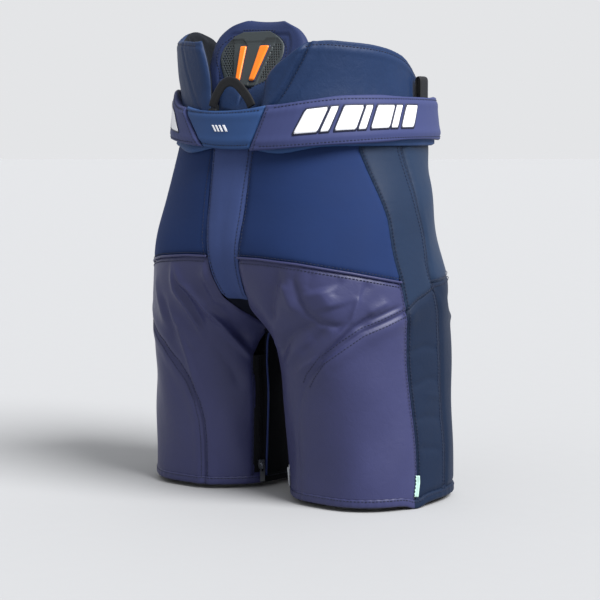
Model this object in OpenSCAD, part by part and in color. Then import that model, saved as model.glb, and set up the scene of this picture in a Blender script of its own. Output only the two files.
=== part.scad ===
// Ice hockey pants: padded outer shell, belt, kidney and spine protection, two zipped legs.
// Frame: +Z up, front faces -Y, the wearer's left is +X, the hems stand on z = 0.
// Most fabric pieces are patches of one lofted body, written for the left half and mirrored.

/* [Leg and hip shape] */
// Outward half width at the hem
hem_outer = 194; // [184:1:204]
// Distance of the inner leg wall from the middle plane at the hem
hem_inner = 20; // [14:1:30]
// Half width at the hips
hip_outer = 184; // [176:1:192]
// How far the seat reaches back at its fullest height
seat_back = 146; // [138:1:154]
// Half width at the waist
waist_outer = 148; // [140:1:156]
// Squareness of the body's section: 2 is an ellipse
squareness = 2.25; // [2:0.05:2.6]

/* [Fabric and padding] */
// Thickness of the sewn shell fabric
shell = 2; // [1.5:0.1:2.4]
// Thickness of the plastic thigh guard
guard = 2.5; // [2:0.1:2.8]
// Thickness of the foam behind the thigh guard
foam = 9; // [6:0.5:10]
// Thickness of the belt
belt_t = 9; // [6:0.5:10]
// Clear space left between sewn neighbours
gap = 0.5; // [0.3:0.1:0.8]

/* [Heights] */
// Height of the sewn hem band
hem_h = 14; // [10:1:18]
// Bottom of the belt at the sides
belt_low = 418; // [416:1:422]
// Top of the belt at the sides
belt_top = 470; // [462:1:474]
// Bottom of the belt at the middle of the back
belt_back_low = 409; // [406:1:412]
// Top of the belt at the middle of the back
belt_back_top = 453; // [446:1:455]
// Top of the kidney pads
kidney_top = 535; // [530:1:545]
// Top of the spine pad
spine_top = 560; // [550:1:566]

/* [Zipper and buckle] */
// Half width of the zipper tape, as an angle round the leg
tape_half = 4; // [3:0.5:5]
// Diameter of the buckle pin
pin_d = 3.2; // [3:0.1:3.6]
// Running clearance round the buckle pin
pin_clear = 0.05; // [0.03:0.01:0.08]

/* [Hidden] */

// Body stations of the left half: height, outer x, inner x, back y, front y.
// Above the crotch the inner x is negative: the loops of both halves run into each other.
stations = [
    [0, hem_outer, hem_inner, 97, -97],
    [60, hem_outer - 2, hem_inner - 4, 99, -99],
    [120, hem_outer - 7, hem_inner - 7, 105, -104],
    [160, hip_outer, hem_inner - 9, 112, -109],
    [195, hip_outer - 1, hem_inner - 18, 120, -112],
    [235, hip_outer, -38, seat_back - 12, -116],
    [290, hip_outer - 6, -105, seat_back, -120],
    [350, hip_outer - 14, -152, seat_back - 8, -122],
    [415, waist_outer + 4, -waist_outer - 4, seat_back - 19, -118],
    [480, waist_outer - 4, 4 - waist_outer, seat_back - 26, -112],
    [560, waist_outer - 8, 8 - waist_outer, seat_back - 34, -104]];

// Waist liner stations, one loop for both halves: height, half width, back y, front y.
liner_stations = [
    [223, 150, 82, -82], [250, 158, 88, -86], [300, 160, 108, -98],
    [350, 152, 118, -104], [424, 133, 108, -100]];

hinge_z = 235;             // height of the axis that the legs swing about
leg_seam_low = 260;        // top of the thigh yoke at the side strip
leg_seam_high = 287;       // top of the thigh yoke at the middle of the back
seam_drop = 3.5;           // opening between the yoke and the seat panel
liner_t = 1.5;             // thickness of the linings
zip_angle = 155;           // where the zipper runs round the leg
zip_low = 24;              // lower end of the zipper
zip_high = 158;            // upper end of the zipper
lean = 22.4;               // how far the spine pad leans inwards, degrees
spine_y = 115.6;           // back face of the spine pad at its lower edge, behind the belt
spine_z = 436;             // lower edge of the spine pad
strap_low = 432;           // lower edge of the waist strap
strap_h = 25;              // width of the waist strap webbing

// ---- Loft functions ----

function segment(table, z, i = 0) = i >= len(table) - 2 || z < table[i + 1][0] ? i : segment(table, z, i + 1);

function slope(table, i, k) = let (a = max(i - 1, 0), b = min(i + 1, len(table) - 1))
    (table[b][k] - table[a][k]) / (table[b][0] - table[a][0]);

// Smooth value of column k of a station table at height z
function profile(table, z, k) = let (
    i = segment(table, z), h = table[i + 1][0] - table[i][0],
    t = min(max((z - table[i][0]) / h, 0), 1), t2 = t * t, t3 = t2 * t)
    (2 * t3 - 3 * t2 + 1) * table[i][k] + (3 * t2 - 2 * t3) * table[i + 1][k]
    + h * ((t3 - 2 * t2 + t) * slope(table, i, k) + (t3 - t2) * slope(table, i + 1, k));

// Centre and radii of the section at height z, grown by off: [cx, rx, cy, ry]
function section(z, off) = let (
    xo = profile(stations, z, 1), xi = profile(stations, z, 2),
    yb = profile(stations, z, 3), yf = profile(stations, z, 4))
    [(xo + xi) / 2, (xo - xi) / 2 + off, (yb + yf) / 2, (yb - yf) / 2 + off];

function bow(c) = sign(c) * pow(abs(c), 2 / squareness);

// Point of the body at height z and angle a: 0 is the outer side, 90 the back, -90 the front
function body_point(z, a, off = 0) = let (s = section(z, off))
    [s[0] + s[1] * bow(cos(a)), s[2] + s[3] * bow(sin(a)), z];

// Angle at which the section crosses the plane x = w
function angle_at(z, w, off = 0) = let (s = section(z, off), u = (w - s[0]) / s[1])
    acos(sign(u) * pow(min(abs(u), 1), squareness / 2));

// Depth of the body at a given x: side is 1 for the back, -1 for the front
function depth_at(x, z, off, side) = let (s = section(z, off), u = min(abs(abs(x) - s[0]) / s[1], 1))
    s[2] + side * s[3] * pow(1 - pow(u, squareness), 1 / squareness);

// Half width of the strip and gusset between the legs at height z
function strip_half(z) = lookup(z, [[195, 9], [258, 20.5], [330, 27], [415, 30]]);

// Edges of the side strip: they start behind the hip and run down to the hem
function strip_back(z) = lookup(z, [[0, 13], [160, 14], [206, 12], [262, 12.5], [330, 17], [406, 28]]);
function strip_front(z) = lookup(z, [[0, -15], [225, -15], [264, -10], [308, -8], [338, -4], [408, 0]]);

// ---- Solids from grids ----

// A closed solid between an outer and an inner grid of (ns + 1) by (nt + 1) points
module grid_solid(outer, inner, ns, nt) {
    n = (ns + 1) * (nt + 1);
    function o(i, j) = i * (nt + 1) + j;
    function q(i, j) = n + i * (nt + 1) + j;
    polyhedron(points = concat(outer, inner), convexity = 6, faces = concat(
        [for (i = [0 : ns - 1], j = [0 : nt - 1]) [o(i, j), o(i, j + 1), o(i + 1, j + 1), o(i + 1, j)]],
        [for (i = [0 : ns - 1], j = [0 : nt - 1]) [q(i, j), q(i + 1, j), q(i + 1, j + 1), q(i, j + 1)]],
        [for (j = [0 : nt - 1]) [o(0, j + 1), o(0, j), q(0, j), q(0, j + 1)]],
        [for (j = [0 : nt - 1]) [o(ns, j), o(ns, j + 1), q(ns, j + 1), q(ns, j)]],
        [for (i = [0 : ns - 1]) [o(i, 0), o(i + 1, 0), q(i + 1, 0), q(i, 0)]],
        [for (i = [0 : ns - 1]) [o(i + 1, nt), o(i, nt), q(i, nt), q(i + 1, nt)]]));
}

// A piece of the body wall. from and to are edge angles as functions of height and offset;
// low and high are edge heights as functions of the share s of the way between the edges.
module patch(from, to, low, high, inside, outside, ns = 10, nt = 6) {
    function p(s, t, off) = let (z = low(s) + (high(s) - low(s)) * t,
        a = from(z, off) + (to(z, off) - from(z, off)) * s) body_point(z, a, off);
    grid_solid([for (i = [0 : ns], j = [0 : nt]) p(i / ns, j / nt, outside)],
        [for (i = [0 : ns], j = [0 : nt]) p(i / ns, j / nt, inside)], ns, nt);
}

// A band across the middle plane that follows the body, half(z) wide to each side
module middle_band(half, low, high, inside, outside, side, ns = 6, nt = 8) {
    function p(i, j, off) = let (z = low + (high - low) * j / nt, x = side * half(z) * (1 - 2 * i / ns))
        [x, depth_at(x, z, off, side), z];
    grid_solid([for (i = [0 : ns], j = [0 : nt]) p(i, j, outside)],
        [for (i = [0 : ns], j = [0 : nt]) p(i, j, inside)], ns, nt);
}

// A closed loop of wall between two offsets; loop(z, a, off) gives its points
module ring(loop, low, high, inside, outside, ns = 28, nt = 4) {
    n = ns * (nt + 1);
    function o(i, j) = (i % ns) * (nt + 1) + j;
    function q(i, j) = n + (i % ns) * (nt + 1) + j;
    function p(i, j, off) = loop(low + (high - low) * j / nt, 360 * i / ns, off);
    polyhedron(points = concat([for (i = [0 : ns - 1], j = [0 : nt]) p(i, j, outside)],
        [for (i = [0 : ns - 1], j = [0 : nt]) p(i, j, inside)]), convexity = 6, faces = concat(
        [for (i = [0 : ns - 1], j = [0 : nt - 1]) [o(i, j), o(i, j + 1), o(i + 1, j + 1), o(i + 1, j)]],
        [for (i = [0 : ns - 1], j = [0 : nt - 1]) [q(i, j), q(i + 1, j), q(i + 1, j + 1), q(i, j + 1)]],
        [for (i = [0 : ns - 1]) [o(i, 0), o(i + 1, 0), q(i + 1, 0), q(i, 0)]],
        [for (i = [0 : ns - 1]) [o(i + 1, nt), o(i, nt), q(i, nt), q(i + 1, nt)]]));
}

// Outline with rounded corners: each corner of pts takes the radius at the same place in r
function unit(v) = v / norm(v);
function fillet(a, b, c, r, k = 5) = let (
    u = unit(a - b), v = unit(c - b), half = acos(u * v) / 2, m = b + unit(u + v) * r / sin(half),
    p = b + u * r / tan(half) - m, q = b + v * r / tan(half) - m,
    start = atan2(p[1], p[0]), turn = atan2(q[1], q[0]) - start,
    sweep = turn > 180 ? turn - 360 : turn < -180 ? turn + 360 : turn)
    [for (i = [0 : k]) m + r * [cos(start + sweep * i / k), sin(start + sweep * i / k)]];
function rounded(pts, r) = let (n = len(pts))
    [for (i = [0 : n - 1]) each fillet(pts[(i + n - 1) % n], pts[i], pts[(i + 1) % n], r[i])];

// ---- Upper body ----

module seat_panel() {
    color("#2c3b64")
    patch(function(z, off) strip_back(z) + 0.3, function(z, off) angle_at(z, strip_half(z) + gap, off),
        function(s) leg_seam_low + seam_drop + (leg_seam_high - leg_seam_low) * s * s * (3 - 2 * s),
        function(s) 424, -shell, 0, 11, 7);
}
module seat_panel_left() { seat_panel(); }
module seat_panel_right() { mirror([1, 0, 0]) seat_panel(); }

module centre_back_strip() {
    color("#333f6c")
    middle_band(function(z) strip_half(z) - gap, 230, 424, -shell, 0, 1);
}

// The gusset is a shallow cradle from the back strip, under the crotch, up to the fly
module crotch_gusset() {
    depth = 42;
    reach = 96;
    mid_z = 236;
    half_w = 9;
    band = 2.5;
    function rim(grow) = [for (a = [0 : -10 : -180])
        [(reach + grow) * cos(a), mid_z + (depth + grow) * sin(a)]];
    outer = concat(rim(0), [[-reach - 7, 270]]);
    inner = concat(rim(-band), [[-reach - 7 + band, 270]]);
    color("#1b2236")
    translate([-half_w, 0, 0])
    rotate([90, 0, 90])
    linear_extrude(2 * half_w)
    polygon(concat(outer, [for (i = [len(inner) - 1 : -1 : 0]) inner[i]]));
}

module hip_strip() {
    color("#364a6b")
    patch(function(z, off) strip_front(z) + 0.3, function(z, off) strip_back(z) - 0.3,
        function(s) 262, function(s) 424, -shell, 0, 4, 8);
}
module hip_strip_left() { hip_strip(); }
module hip_strip_right() { mirror([1, 0, 0]) hip_strip(); }

module front_panel() {
    color("#2c3e5b")
    patch(function(z, off) -angle_at(z, lookup(z, [[296, 10], [306, 24]]), off),
        function(z, off) strip_front(z) - 0.3,
        function(s) 276 - 12 * s * s, function(s) 424, -shell, 0, 10, 7);
}
module front_panel_left() { front_panel(); }
module front_panel_right() { mirror([1, 0, 0]) front_panel(); }

module fly_underlap() {
    color("#161c2c")
    middle_band(function(z) 34, 300, 424, -shell - 3.5, -shell - 1.5, -1, 4, 4);
}

module fly_flap() {
    color("#2c3e5b")
    middle_band(function(z) 30, 300, 402, 0.8, 3, -1, 4, 4);
}

// The lining is one loop round the hips; it bridges the leg seams from inside
module girdle_liner() {
    loop = function(z, a, off) let (x = profile(liner_stations, z, 1), yb = profile(liner_stations, z, 2),
        yf = profile(liner_stations, z, 3))
        [(x + off) * bow(cos(a)), (yb + yf) / 2 + ((yb - yf) / 2 + off) * bow(sin(a)), z];
    color("#15181f")
    ring(loop, 223, 424, -liner_t, 0, 32, 6);
}

// ---- Belt ----

// The belt dips and narrows towards the middle of the back
function dip(a) = let (t = min(max((abs(a) - 30) / 60, 0), 1)) a < 0 ? 0 : t * t * (3 - 2 * t);
function belt_bottom(a) = belt_low - (belt_low - belt_back_low) * dip(a);
function belt_rim(a) = belt_top - (belt_top - belt_back_top) * dip(a);
function belt_seam(z) = lookup(z, [[409, 76], [455, 64.5]]);
belt_in = 5;               // inner face of the belt, outwards from the body
belt_front = -76;          // angle where the belt ends at the front

module belt_back_centre() {
    color("#34476f")
    patch(function(z, off) belt_seam(z) + 0.25, function(z, off) 180 - belt_seam(z) - 0.25,
        function(s) belt_bottom(90 - 14 * abs(2 * s - 1)), function(s) belt_rim(90 - 25 * abs(2 * s - 1)),
        belt_in, belt_in + belt_t, 10, 3);
}

module belt_side() {
    function angle(s) = belt_front + (70 - belt_front) * s;
    color("#434d72")
    patch(function(z, off) belt_front, function(z, off) belt_seam(z) - 0.25,
        function(s) belt_bottom(angle(s)), function(s) belt_rim(angle(s)),
        belt_in, belt_in + belt_t, 18, 3);
}
module belt_side_left() { belt_side(); }
module belt_side_right() { mirror([1, 0, 0]) belt_side(); }

module waistband_backing() {
    color("#34476f")
    patch(function(z, off) -80, function(z, off) 260,
        function(s) 405, function(s) 430, 1.8, belt_in - 1.4, 44, 2);
}

module waist_strap() {
    color("#17181c")
    patch(function(z, off) -120, function(z, off) -60, function(s) strap_low,
        function(s) strap_low + strap_h, belt_in + belt_t + 0.4, belt_in + belt_t + 2, 8, 1);
}

// ---- Front buckle: a lever cam on a cross pin ----
strap_mid = strap_low + strap_h / 2;
buckle_y = depth_at(0, strap_low, belt_in + belt_t + 2.6, -1);
pin_x = 12;
pin_y = buckle_y - 8;
ear_t = 3;
lever_w = strap_h + 1;

module buckle_frame() {
    base_t = 2.5;
    color("#9aa0a8")
    difference() {
        union() {
            translate([-20, buckle_y - base_t, strap_mid - lever_w / 2 - ear_t - 0.5])
            cube([40, base_t, lever_w + 2 * ear_t + 1]);
            for (side = [-1, 1])
                translate([pin_x, pin_y, strap_mid + side * (lever_w / 2 + 0.5 + ear_t / 2)])
                linear_extrude(ear_t, center = true)
                polygon([[-7, 8 - base_t / 2], [7, 8 - base_t / 2], [5, -3],
                    [2, -4.5], [-2, -4.5], [-5, -3]]);
        }
        translate([pin_x, pin_y, strap_mid])
        cylinder(d = pin_d + 2 * pin_clear, h = lever_w + 20, center = true, $fn = 48);
    }
}

module buckle_pin() {
    color("#c8ccd2")
    translate([pin_x, pin_y, strap_mid])
    cylinder(d = pin_d, h = lever_w + 2 * ear_t, center = true, $fn = 48);
}

module buckle_lever() {
    color("#9aa0a8")
    translate([pin_x, pin_y, strap_mid])
    difference() {
        union() {
            cylinder(r = 4, h = lever_w, center = true, $fn = 48);
            linear_extrude(lever_w, center = true)
            polygon([[0, -4], [-34, -4], [-36, -3], [-36, -1.5], [0, 0]]);
        }
        cylinder(d = pin_d + 2 * pin_clear, h = lever_w + 2, center = true, $fn = 48);
    }
}

// ---- Spine protection ----

// Lays a flat piece on the back face of the spine pad, off millimetres proud of it
module on_spine(off) {
    translate([0, spine_y, spine_z])
    rotate([lean, 0, 0])
    translate([0, off, 0])
    rotate([90, 0, 180])
    children();
}

spine_len = (spine_top - spine_z) / cos(lean);

module spine_pad() {
    thick = 18;
    half = [[29, 0], [31, 18], [62, 42], [72, 66], [71, spine_len - 30], [46, spine_len - 5],
        [24, spine_len]];
    color("#3c4563")
    on_spine(0)
    mirror([0, 0, 1])
    linear_extrude(thick)
    polygon(rounded(concat(half, [for (i = [6 : -1 : 0]) [-half[i][0], half[i][1]]]),
        [6, 8, 20, 24, 26, 20, 10, 10, 20, 26, 24, 20, 8, 6]));
}

plate_foot = 49;           // where the hard plate starts, up the pad
module spine_plate() {
    half = [[14, plate_foot], [31, plate_foot + 10], [45, plate_foot + 36], [43, plate_foot + 52],
        [32, plate_foot + 63], [15, plate_foot + 70]];
    color("#3f4b50")
    on_spine(0.4)
    linear_extrude(4.5)
    polygon(rounded(concat(half, [for (i = [5 : -1 : 0]) [-half[i][0], half[i][1]]]),
        [4, 8, 10, 8, 8, 5, 5, 8, 8, 10, 8, 4]));
}

module spine_plate_bars() {
    color("#ff9d00")
    on_spine(5.2)
    for (side = [-1, 1])
        linear_extrude(1.6)
        polygon([for (p = [[7, 6], [14, 6], [22, 52], [11.5, 52]]) [side * p[0], p[1] + plate_foot]]);
}

module spine_cover() {
    color("#34476f")
    on_spine(0.4)
    linear_extrude(3)
    polygon(rounded([[26, 14], [31, 24], [42, plate_foot + 2], [36, plate_foot + 2], [10, plate_foot - 4],
        [-10, plate_foot - 4], [-36, plate_foot + 2], [-42, plate_foot + 2], [-31, 24], [-26, 14]],
        [2, 5, 2, 3, 4, 4, 3, 2, 5, 2]));
}

module tailbone_pad() {
    color("#20242e")
    middle_band(function(z) lookup(z, [[290, 34], [330, 52], [400, 56]]), 290, 400,
        -shell - 12, -shell - 1.6, 1, 6, 5);
}

// ---- Kidney and hip pads ----

// back gives the angle of the back edge at each height, rise the top edge along the pad above kidney_top
module kidney_pad(back, rise) {
    front_edge = -50;
    color("#32476c")
    patch(function(z, off) front_edge,
        function(z, off) lookup(z, back),
        function(s) 432,
        function(s) lookup(s, concat([[0, 466], [0.12, 478], [0.25, rise[0]]],
            [for (i = [1 : 6]) [[0.36, 0.47, 0.6, 0.75, 0.9, 1][i - 1], kidney_top + rise[i]]])),
        -9, 4, 14, 6);
}

// The left pad stands higher and is cut squarer at the back than the right one
module kidney_pad_left() {
    kidney_pad([[432, 79], [495, 77], [520, 74], [kidney_top + 5, 69]], [509, 4, 14, 13, 4, 3, -2]);
}
module kidney_pad_right() {
    mirror([1, 0, 0])
    kidney_pad([[432, 78], [495, 75], [520, 63], [kidney_top, 52]], [494, -22, -12, -7, -4, -2, -5]);
}

module hip_pad() {
    color("#20242e")
    patch(function(z, off) -48, function(z, off) 48, function(s) 290, function(s) 402,
        -shell - 10.5, -shell - 0.8, 8, 5);
}
module hip_pad_left() { hip_pad(); }
module hip_pad_right() { mirror([1, 0, 0]) hip_pad(); }

// ---- Loops ----
loop_y = 123.5;            // inner face of the hanging loop
loop_z = 456.5;            // height at which the hanging loop folds
loop_t = 2;

module hang_loop() {
    foot = 28;             // half spread of the two feet
    rise = 38;
    band = 11;
    color("#26272a")
    translate([0, loop_y + loop_t, loop_z])
    rotate([90, 0, 0])
    linear_extrude(loop_t)
    difference() {
        polygon(rounded([[-foot - band / 2, 0], [-10, rise], [10, rise], [foot + band / 2, 0]],
            [0.5, 7, 7, 0.5]));
        polygon([[-foot + band / 2 + 1, -1], [-6, rise - band], [6, rise - band], [foot - band / 2 - 1, -1]]);
    }
}

module hang_loop_tabs() {
    color("#26272a")
    for (side = [-1, 1])
        translate([side * 28 - 5.5, loop_y, 440])
        cube([11, loop_t, loop_z - 441.4]);
}

// A loop of webbing that stands on the belt's top edge; a strap passes through it sideways
module suspender_loop() {
    a = -16;
    wide = 16;
    tall = 23;
    across = 8.5;
    wall = 1.5;
    foot = body_point(belt_top + 0.4, a, belt_in + 2);
    color("#26272a")
    translate(foot)
    rotate([90, 0, 0])
    linear_extrude(wide, center = true)
    difference() {
        polygon(rounded([[0, 0], [0, tall], [across, tall], [across, 0]], [0.3, 3.5, 3.5, 0.3]));
        polygon(rounded([[wall, -1], [wall, tall - wall], [across - wall, tall - wall], [across - wall, -1]],
            [0.3, 2, 2, 0.3]));
    }
}
module suspender_loop_left() { suspender_loop(); }
module suspender_loop_right() { mirror([1, 0, 0]) suspender_loop(); }

// ---- Legs ----

shell_low = hem_h + gap;
inner_top = 164;           // top of the inner leg wall
zip_edge = tape_half + 0.6;

// Height of the curved thigh seam round the leg: high at the side strip, low towards the inner leg
function thigh_seam(a) = lookup(a, [[14, 224], [40, 210], [60, 192], [75, 173], [90, 150], [109, 130],
    [150, inner_top]]);

// Angle at the share s of the way across the thigh yoke, and the height of its lower edge there
function yoke_inner(z, off) = min(zip_angle - zip_edge, angle_at(z, strip_half(z) + 2.5, off));
function yoke_angle(s, z) = strip_back(z) + (yoke_inner(z, 0) - strip_back(z)) * s;
function yoke_low(s) = let (first = thigh_seam(yoke_angle(s, 200)), second = thigh_seam(yoke_angle(s, first)))
    thigh_seam(yoke_angle(s, second));

module thigh_yoke() {
    yoke_edge = function(z, off) yoke_inner(z, off);
    color("#4a5077")
    patch(function(z, off) strip_back(z) + 0.3, yoke_edge, function(s) yoke_low(s) + gap,
        function(s) leg_seam_low + (leg_seam_high - leg_seam_low) * s * s * (3 - 2 * s),
        -shell, 0, 12, 5);
}
module thigh_yoke_left() { thigh_yoke(); }
module thigh_yoke_right() { mirror([1, 0, 0]) thigh_yoke(); }

back_split = 109;          // angle of the long seam down the back of the leg

module leg_back() {
    color("#474b6f")
    patch(function(z, off) strip_back(z) + 0.3, function(z, off) back_split - 0.3,
        function(s) shell_low, function(s) thigh_seam(15 + (back_split - 15) * s) - 2,
        -shell, 0, 9, 7);
}
module leg_back_left() { leg_back(); }
module leg_back_right() { mirror([1, 0, 0]) leg_back(); }

module leg_back_inner() {
    color("#474b6f")
    patch(function(z, off) back_split + 0.3, function(z, off) zip_angle - zip_edge,
        function(s) shell_low, function(s) thigh_seam(back_split + (150 - back_split) * s) - 2,
        -shell, 0, 4, 5);
}
module leg_back_inner_left() { leg_back_inner(); }
module leg_back_inner_right() { mirror([1, 0, 0]) leg_back_inner(); }

module leg_strip() {
    color("#2f415c")
    patch(function(z, off) strip_front(z) + 0.3, function(z, off) strip_back(z) - 0.3,
        function(s) shell_low, function(s) 214 + 36 * s, -shell, 0, 4, 7);
}
module leg_strip_left() { leg_strip(); }
module leg_strip_right() { mirror([1, 0, 0]) leg_strip(); }

module leg_front() {
    color("#2c3e5b")
    patch(function(z, off) -125, function(z, off) strip_front(z) - 0.3,
        function(s) shell_low, function(s) inner_top + lookup(s, [[0, 0], [0.3, 22], [0.8, 34], [1, 48]]),
        -shell, 0, 11, 6);
}
module leg_front_left() { leg_front(); }
module leg_front_right() { mirror([1, 0, 0]) leg_front(); }

module leg_inner() {
    color("#0c0f14")
    patch(function(z, off) zip_angle + zip_edge, function(z, off) 234.6,
        function(s) shell_low, function(s) inner_top, -shell, 0, 6, 5);
}
module leg_inner_left() { leg_inner(); }
module leg_inner_right() { mirror([1, 0, 0]) leg_inner(); }

// The hem is a flat-bottomed band that the pants stand on
module hem_band() {
    steps = 48;
    function outline(off) = [for (i = [0 : steps - 1])
        let (p = body_point(hem_h / 2, 360 * i / steps, off)) [p[0], p[1]]];
    color("#3d4468")
    linear_extrude(hem_h)
    difference() {
        polygon(outline(0.8));
        polygon(outline(-shell - 0.6));
    }
}
module hem_band_left() { hem_band(); }
module hem_band_right() { mirror([1, 0, 0]) hem_band(); }

guard_out = -shell - 0.6;
guard_in = guard_out - guard;
foam_out = guard_in - 1.3;
foam_in = foam_out - foam;
liner_out = foam_in - 1.3;

function pad_top(s) = lookup(s, [[0, 160], [0.3, 176], [0.7, 186], [1, 196]]);

module thigh_guard() {
    color("#15161a")
    patch(function(z, off) -112, function(z, off) 52, function(s) 24, function(s) pad_top(s) - 6,
        guard_in, guard_out, 11, 5);
}
module thigh_guard_left() { thigh_guard(); }
module thigh_guard_right() { mirror([1, 0, 0]) thigh_guard(); }

module thigh_foam() {
    color("#2b2f38")
    patch(function(z, off) -118, function(z, off) 62, function(s) 20, function(s) pad_top(s),
        foam_in, foam_out, 12, 5);
}
module thigh_foam_left() { thigh_foam(); }
module thigh_foam_right() { mirror([1, 0, 0]) thigh_foam(); }

module leg_liner() {
    color("#15181f")
    ring(function(z, a, off) body_point(z, a, off), 6, 160, liner_out - liner_t, liner_out, 28, 3);
}
module leg_liner_left() { leg_liner(); }
module leg_liner_right() { mirror([1, 0, 0]) leg_liner(); }

// ---- Inner leg zippers ----

zip_foot = body_point(zip_low, zip_angle);
zip_head = body_point(zip_high, zip_angle);
zip_dir = unit(zip_head - zip_foot);
// Outward direction of the tape, square to its run
zip_side = unit(body_point(90, zip_angle + 3) - body_point(90, zip_angle - 3));
zip_out = unit(cross(zip_side, zip_dir));

module zipper_tape() {
    color("#1b1e2b")
    patch(function(z, off) zip_angle - tape_half, function(z, off) zip_angle + tape_half,
        function(s) zip_low - 6, function(s) zip_high + 4, -1.6, 0.2, 4, 5);
}
module zipper_tape_left() { zipper_tape(); }
module zipper_tape_right() { mirror([1, 0, 0]) zipper_tape(); }

// Places a piece drawn with x across, y outwards and z up the zipper at its lower end
module on_zip() {
    x = cross(zip_out, zip_dir);
    multmatrix([[x[0], zip_out[0], zip_dir[0], zip_foot[0]], [x[1], zip_out[1], zip_dir[1], zip_foot[1]],
        [x[2], zip_out[2], zip_dir[2], zip_foot[2]], [0, 0, 0, 1]])
    children();
}

slider_low = 1.6;          // clearance of the slider over the tape
module zipper_slider() {
    color("#8e9299")
    on_zip()
    difference() {
        union() {
            translate([0, slider_low + 2.4, 0])
            rotate([90, 0, 0])
            linear_extrude(2.4)
            polygon([[-3.2, 0], [3.2, 0], [4.4, 6], [3.4, 11], [-3.4, 11], [-4.4, 6]]);
            translate([-1.2, slider_low + 2, 2])
            cube([2.4, 3.4, 5]);
        }
        translate([0, slider_low + 3.8, 4.5])
        rotate([0, 90, 0])
        cylinder(r = 0.9, h = 8, center = true, $fn = 32);
    }
}
module zipper_slider_left() { zipper_slider(); }
module zipper_slider_right() { mirror([1, 0, 0]) zipper_slider(); }

// The pull hangs from the slider's bridge by a pin through it
module zipper_pull() {
    color("#8e9299")
    on_zip()
    translate([0, slider_low + 3.8, 4.5]) {
        rotate([0, 90, 0])
        cylinder(r = 0.85, h = 6.2, center = true, $fn = 32);
        for (side = [-1, 1])
            translate([side * 2.4 - 0.7, -0.85, -9])
            cube([1.4, 1.7, 9]);
        translate([-3.1, -0.85, -20])
        cube([6.2, 1.7, 12]);
    }
}
module zipper_pull_left() { zipper_pull(); }
module zipper_pull_right() { mirror([1, 0, 0]) zipper_pull(); }

module side_tag() {
    color("#cfe3df")
    mirror([1, 0, 0])
    patch(function(z, off) 9, function(z, off) 12, function(s) 15, function(s) 38, 0.6, 1.4, 1, 2);
}

seat_panel_left();
seat_panel_right();
centre_back_strip();
crotch_gusset();
hip_strip_left();
hip_strip_right();
front_panel_left();
front_panel_right();
fly_underlap();
fly_flap();
girdle_liner();
belt_back_centre();
belt_side_left();
belt_side_right();
waistband_backing();
waist_strap();
buckle_frame();
buckle_pin();
buckle_lever();
spine_pad();
spine_plate();
spine_plate_bars();
spine_cover();
tailbone_pad();
kidney_pad_left();
kidney_pad_right();
hip_pad_left();
hip_pad_right();
hang_loop();
hang_loop_tabs();
suspender_loop_left();
suspender_loop_right();
thigh_yoke_left();
thigh_yoke_right();
leg_back_left();
leg_back_right();
leg_back_inner_left();
leg_back_inner_right();
leg_strip_left();
leg_strip_right();
leg_front_left();
leg_front_right();
leg_inner_left();
leg_inner_right();
hem_band_left();
hem_band_right();
thigh_guard_left();
thigh_guard_right();
thigh_foam_left();
thigh_foam_right();
leg_liner_left();
leg_liner_right();
zipper_tape_left();
zipper_tape_right();
zipper_slider_left();
zipper_slider_right();
zipper_pull_left();
zipper_pull_right();
side_tag();
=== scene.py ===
"""Looks of the ice hockey pants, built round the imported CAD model. Metres, +Z up, front -Y, left +X.

The shell panels, pads and belt follow one lofted body, the same one that the CAD model uses:
a point of it is given by a height z and an angle a round the half section, where 0 is the
outer side, 90 the back and -90 the front. side is 1 for the left half and -1 for the right.
"""

import math

import bmesh
import bpy
import numpy as np
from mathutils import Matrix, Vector


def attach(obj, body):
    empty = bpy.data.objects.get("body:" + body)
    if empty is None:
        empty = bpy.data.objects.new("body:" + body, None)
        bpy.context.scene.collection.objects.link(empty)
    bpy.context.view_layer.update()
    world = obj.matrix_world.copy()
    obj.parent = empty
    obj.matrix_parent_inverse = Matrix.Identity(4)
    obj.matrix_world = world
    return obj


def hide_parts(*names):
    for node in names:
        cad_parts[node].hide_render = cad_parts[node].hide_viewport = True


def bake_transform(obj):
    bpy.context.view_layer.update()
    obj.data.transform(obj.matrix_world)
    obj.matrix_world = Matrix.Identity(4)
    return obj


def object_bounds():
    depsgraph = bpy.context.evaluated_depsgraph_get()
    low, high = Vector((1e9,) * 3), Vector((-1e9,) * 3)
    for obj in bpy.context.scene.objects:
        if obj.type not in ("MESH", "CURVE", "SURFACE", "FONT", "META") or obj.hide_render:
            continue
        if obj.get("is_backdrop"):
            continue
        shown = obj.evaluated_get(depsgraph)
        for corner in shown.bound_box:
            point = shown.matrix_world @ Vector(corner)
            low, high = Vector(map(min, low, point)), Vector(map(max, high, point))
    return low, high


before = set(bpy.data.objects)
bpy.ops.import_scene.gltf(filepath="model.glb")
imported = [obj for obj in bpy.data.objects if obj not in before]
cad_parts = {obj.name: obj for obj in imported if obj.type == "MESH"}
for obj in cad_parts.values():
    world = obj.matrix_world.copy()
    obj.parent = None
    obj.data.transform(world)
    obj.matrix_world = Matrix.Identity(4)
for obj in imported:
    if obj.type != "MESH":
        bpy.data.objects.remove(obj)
cad_low, cad_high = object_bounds()

# ---------------------------------------------------------------- the lofted body

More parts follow.
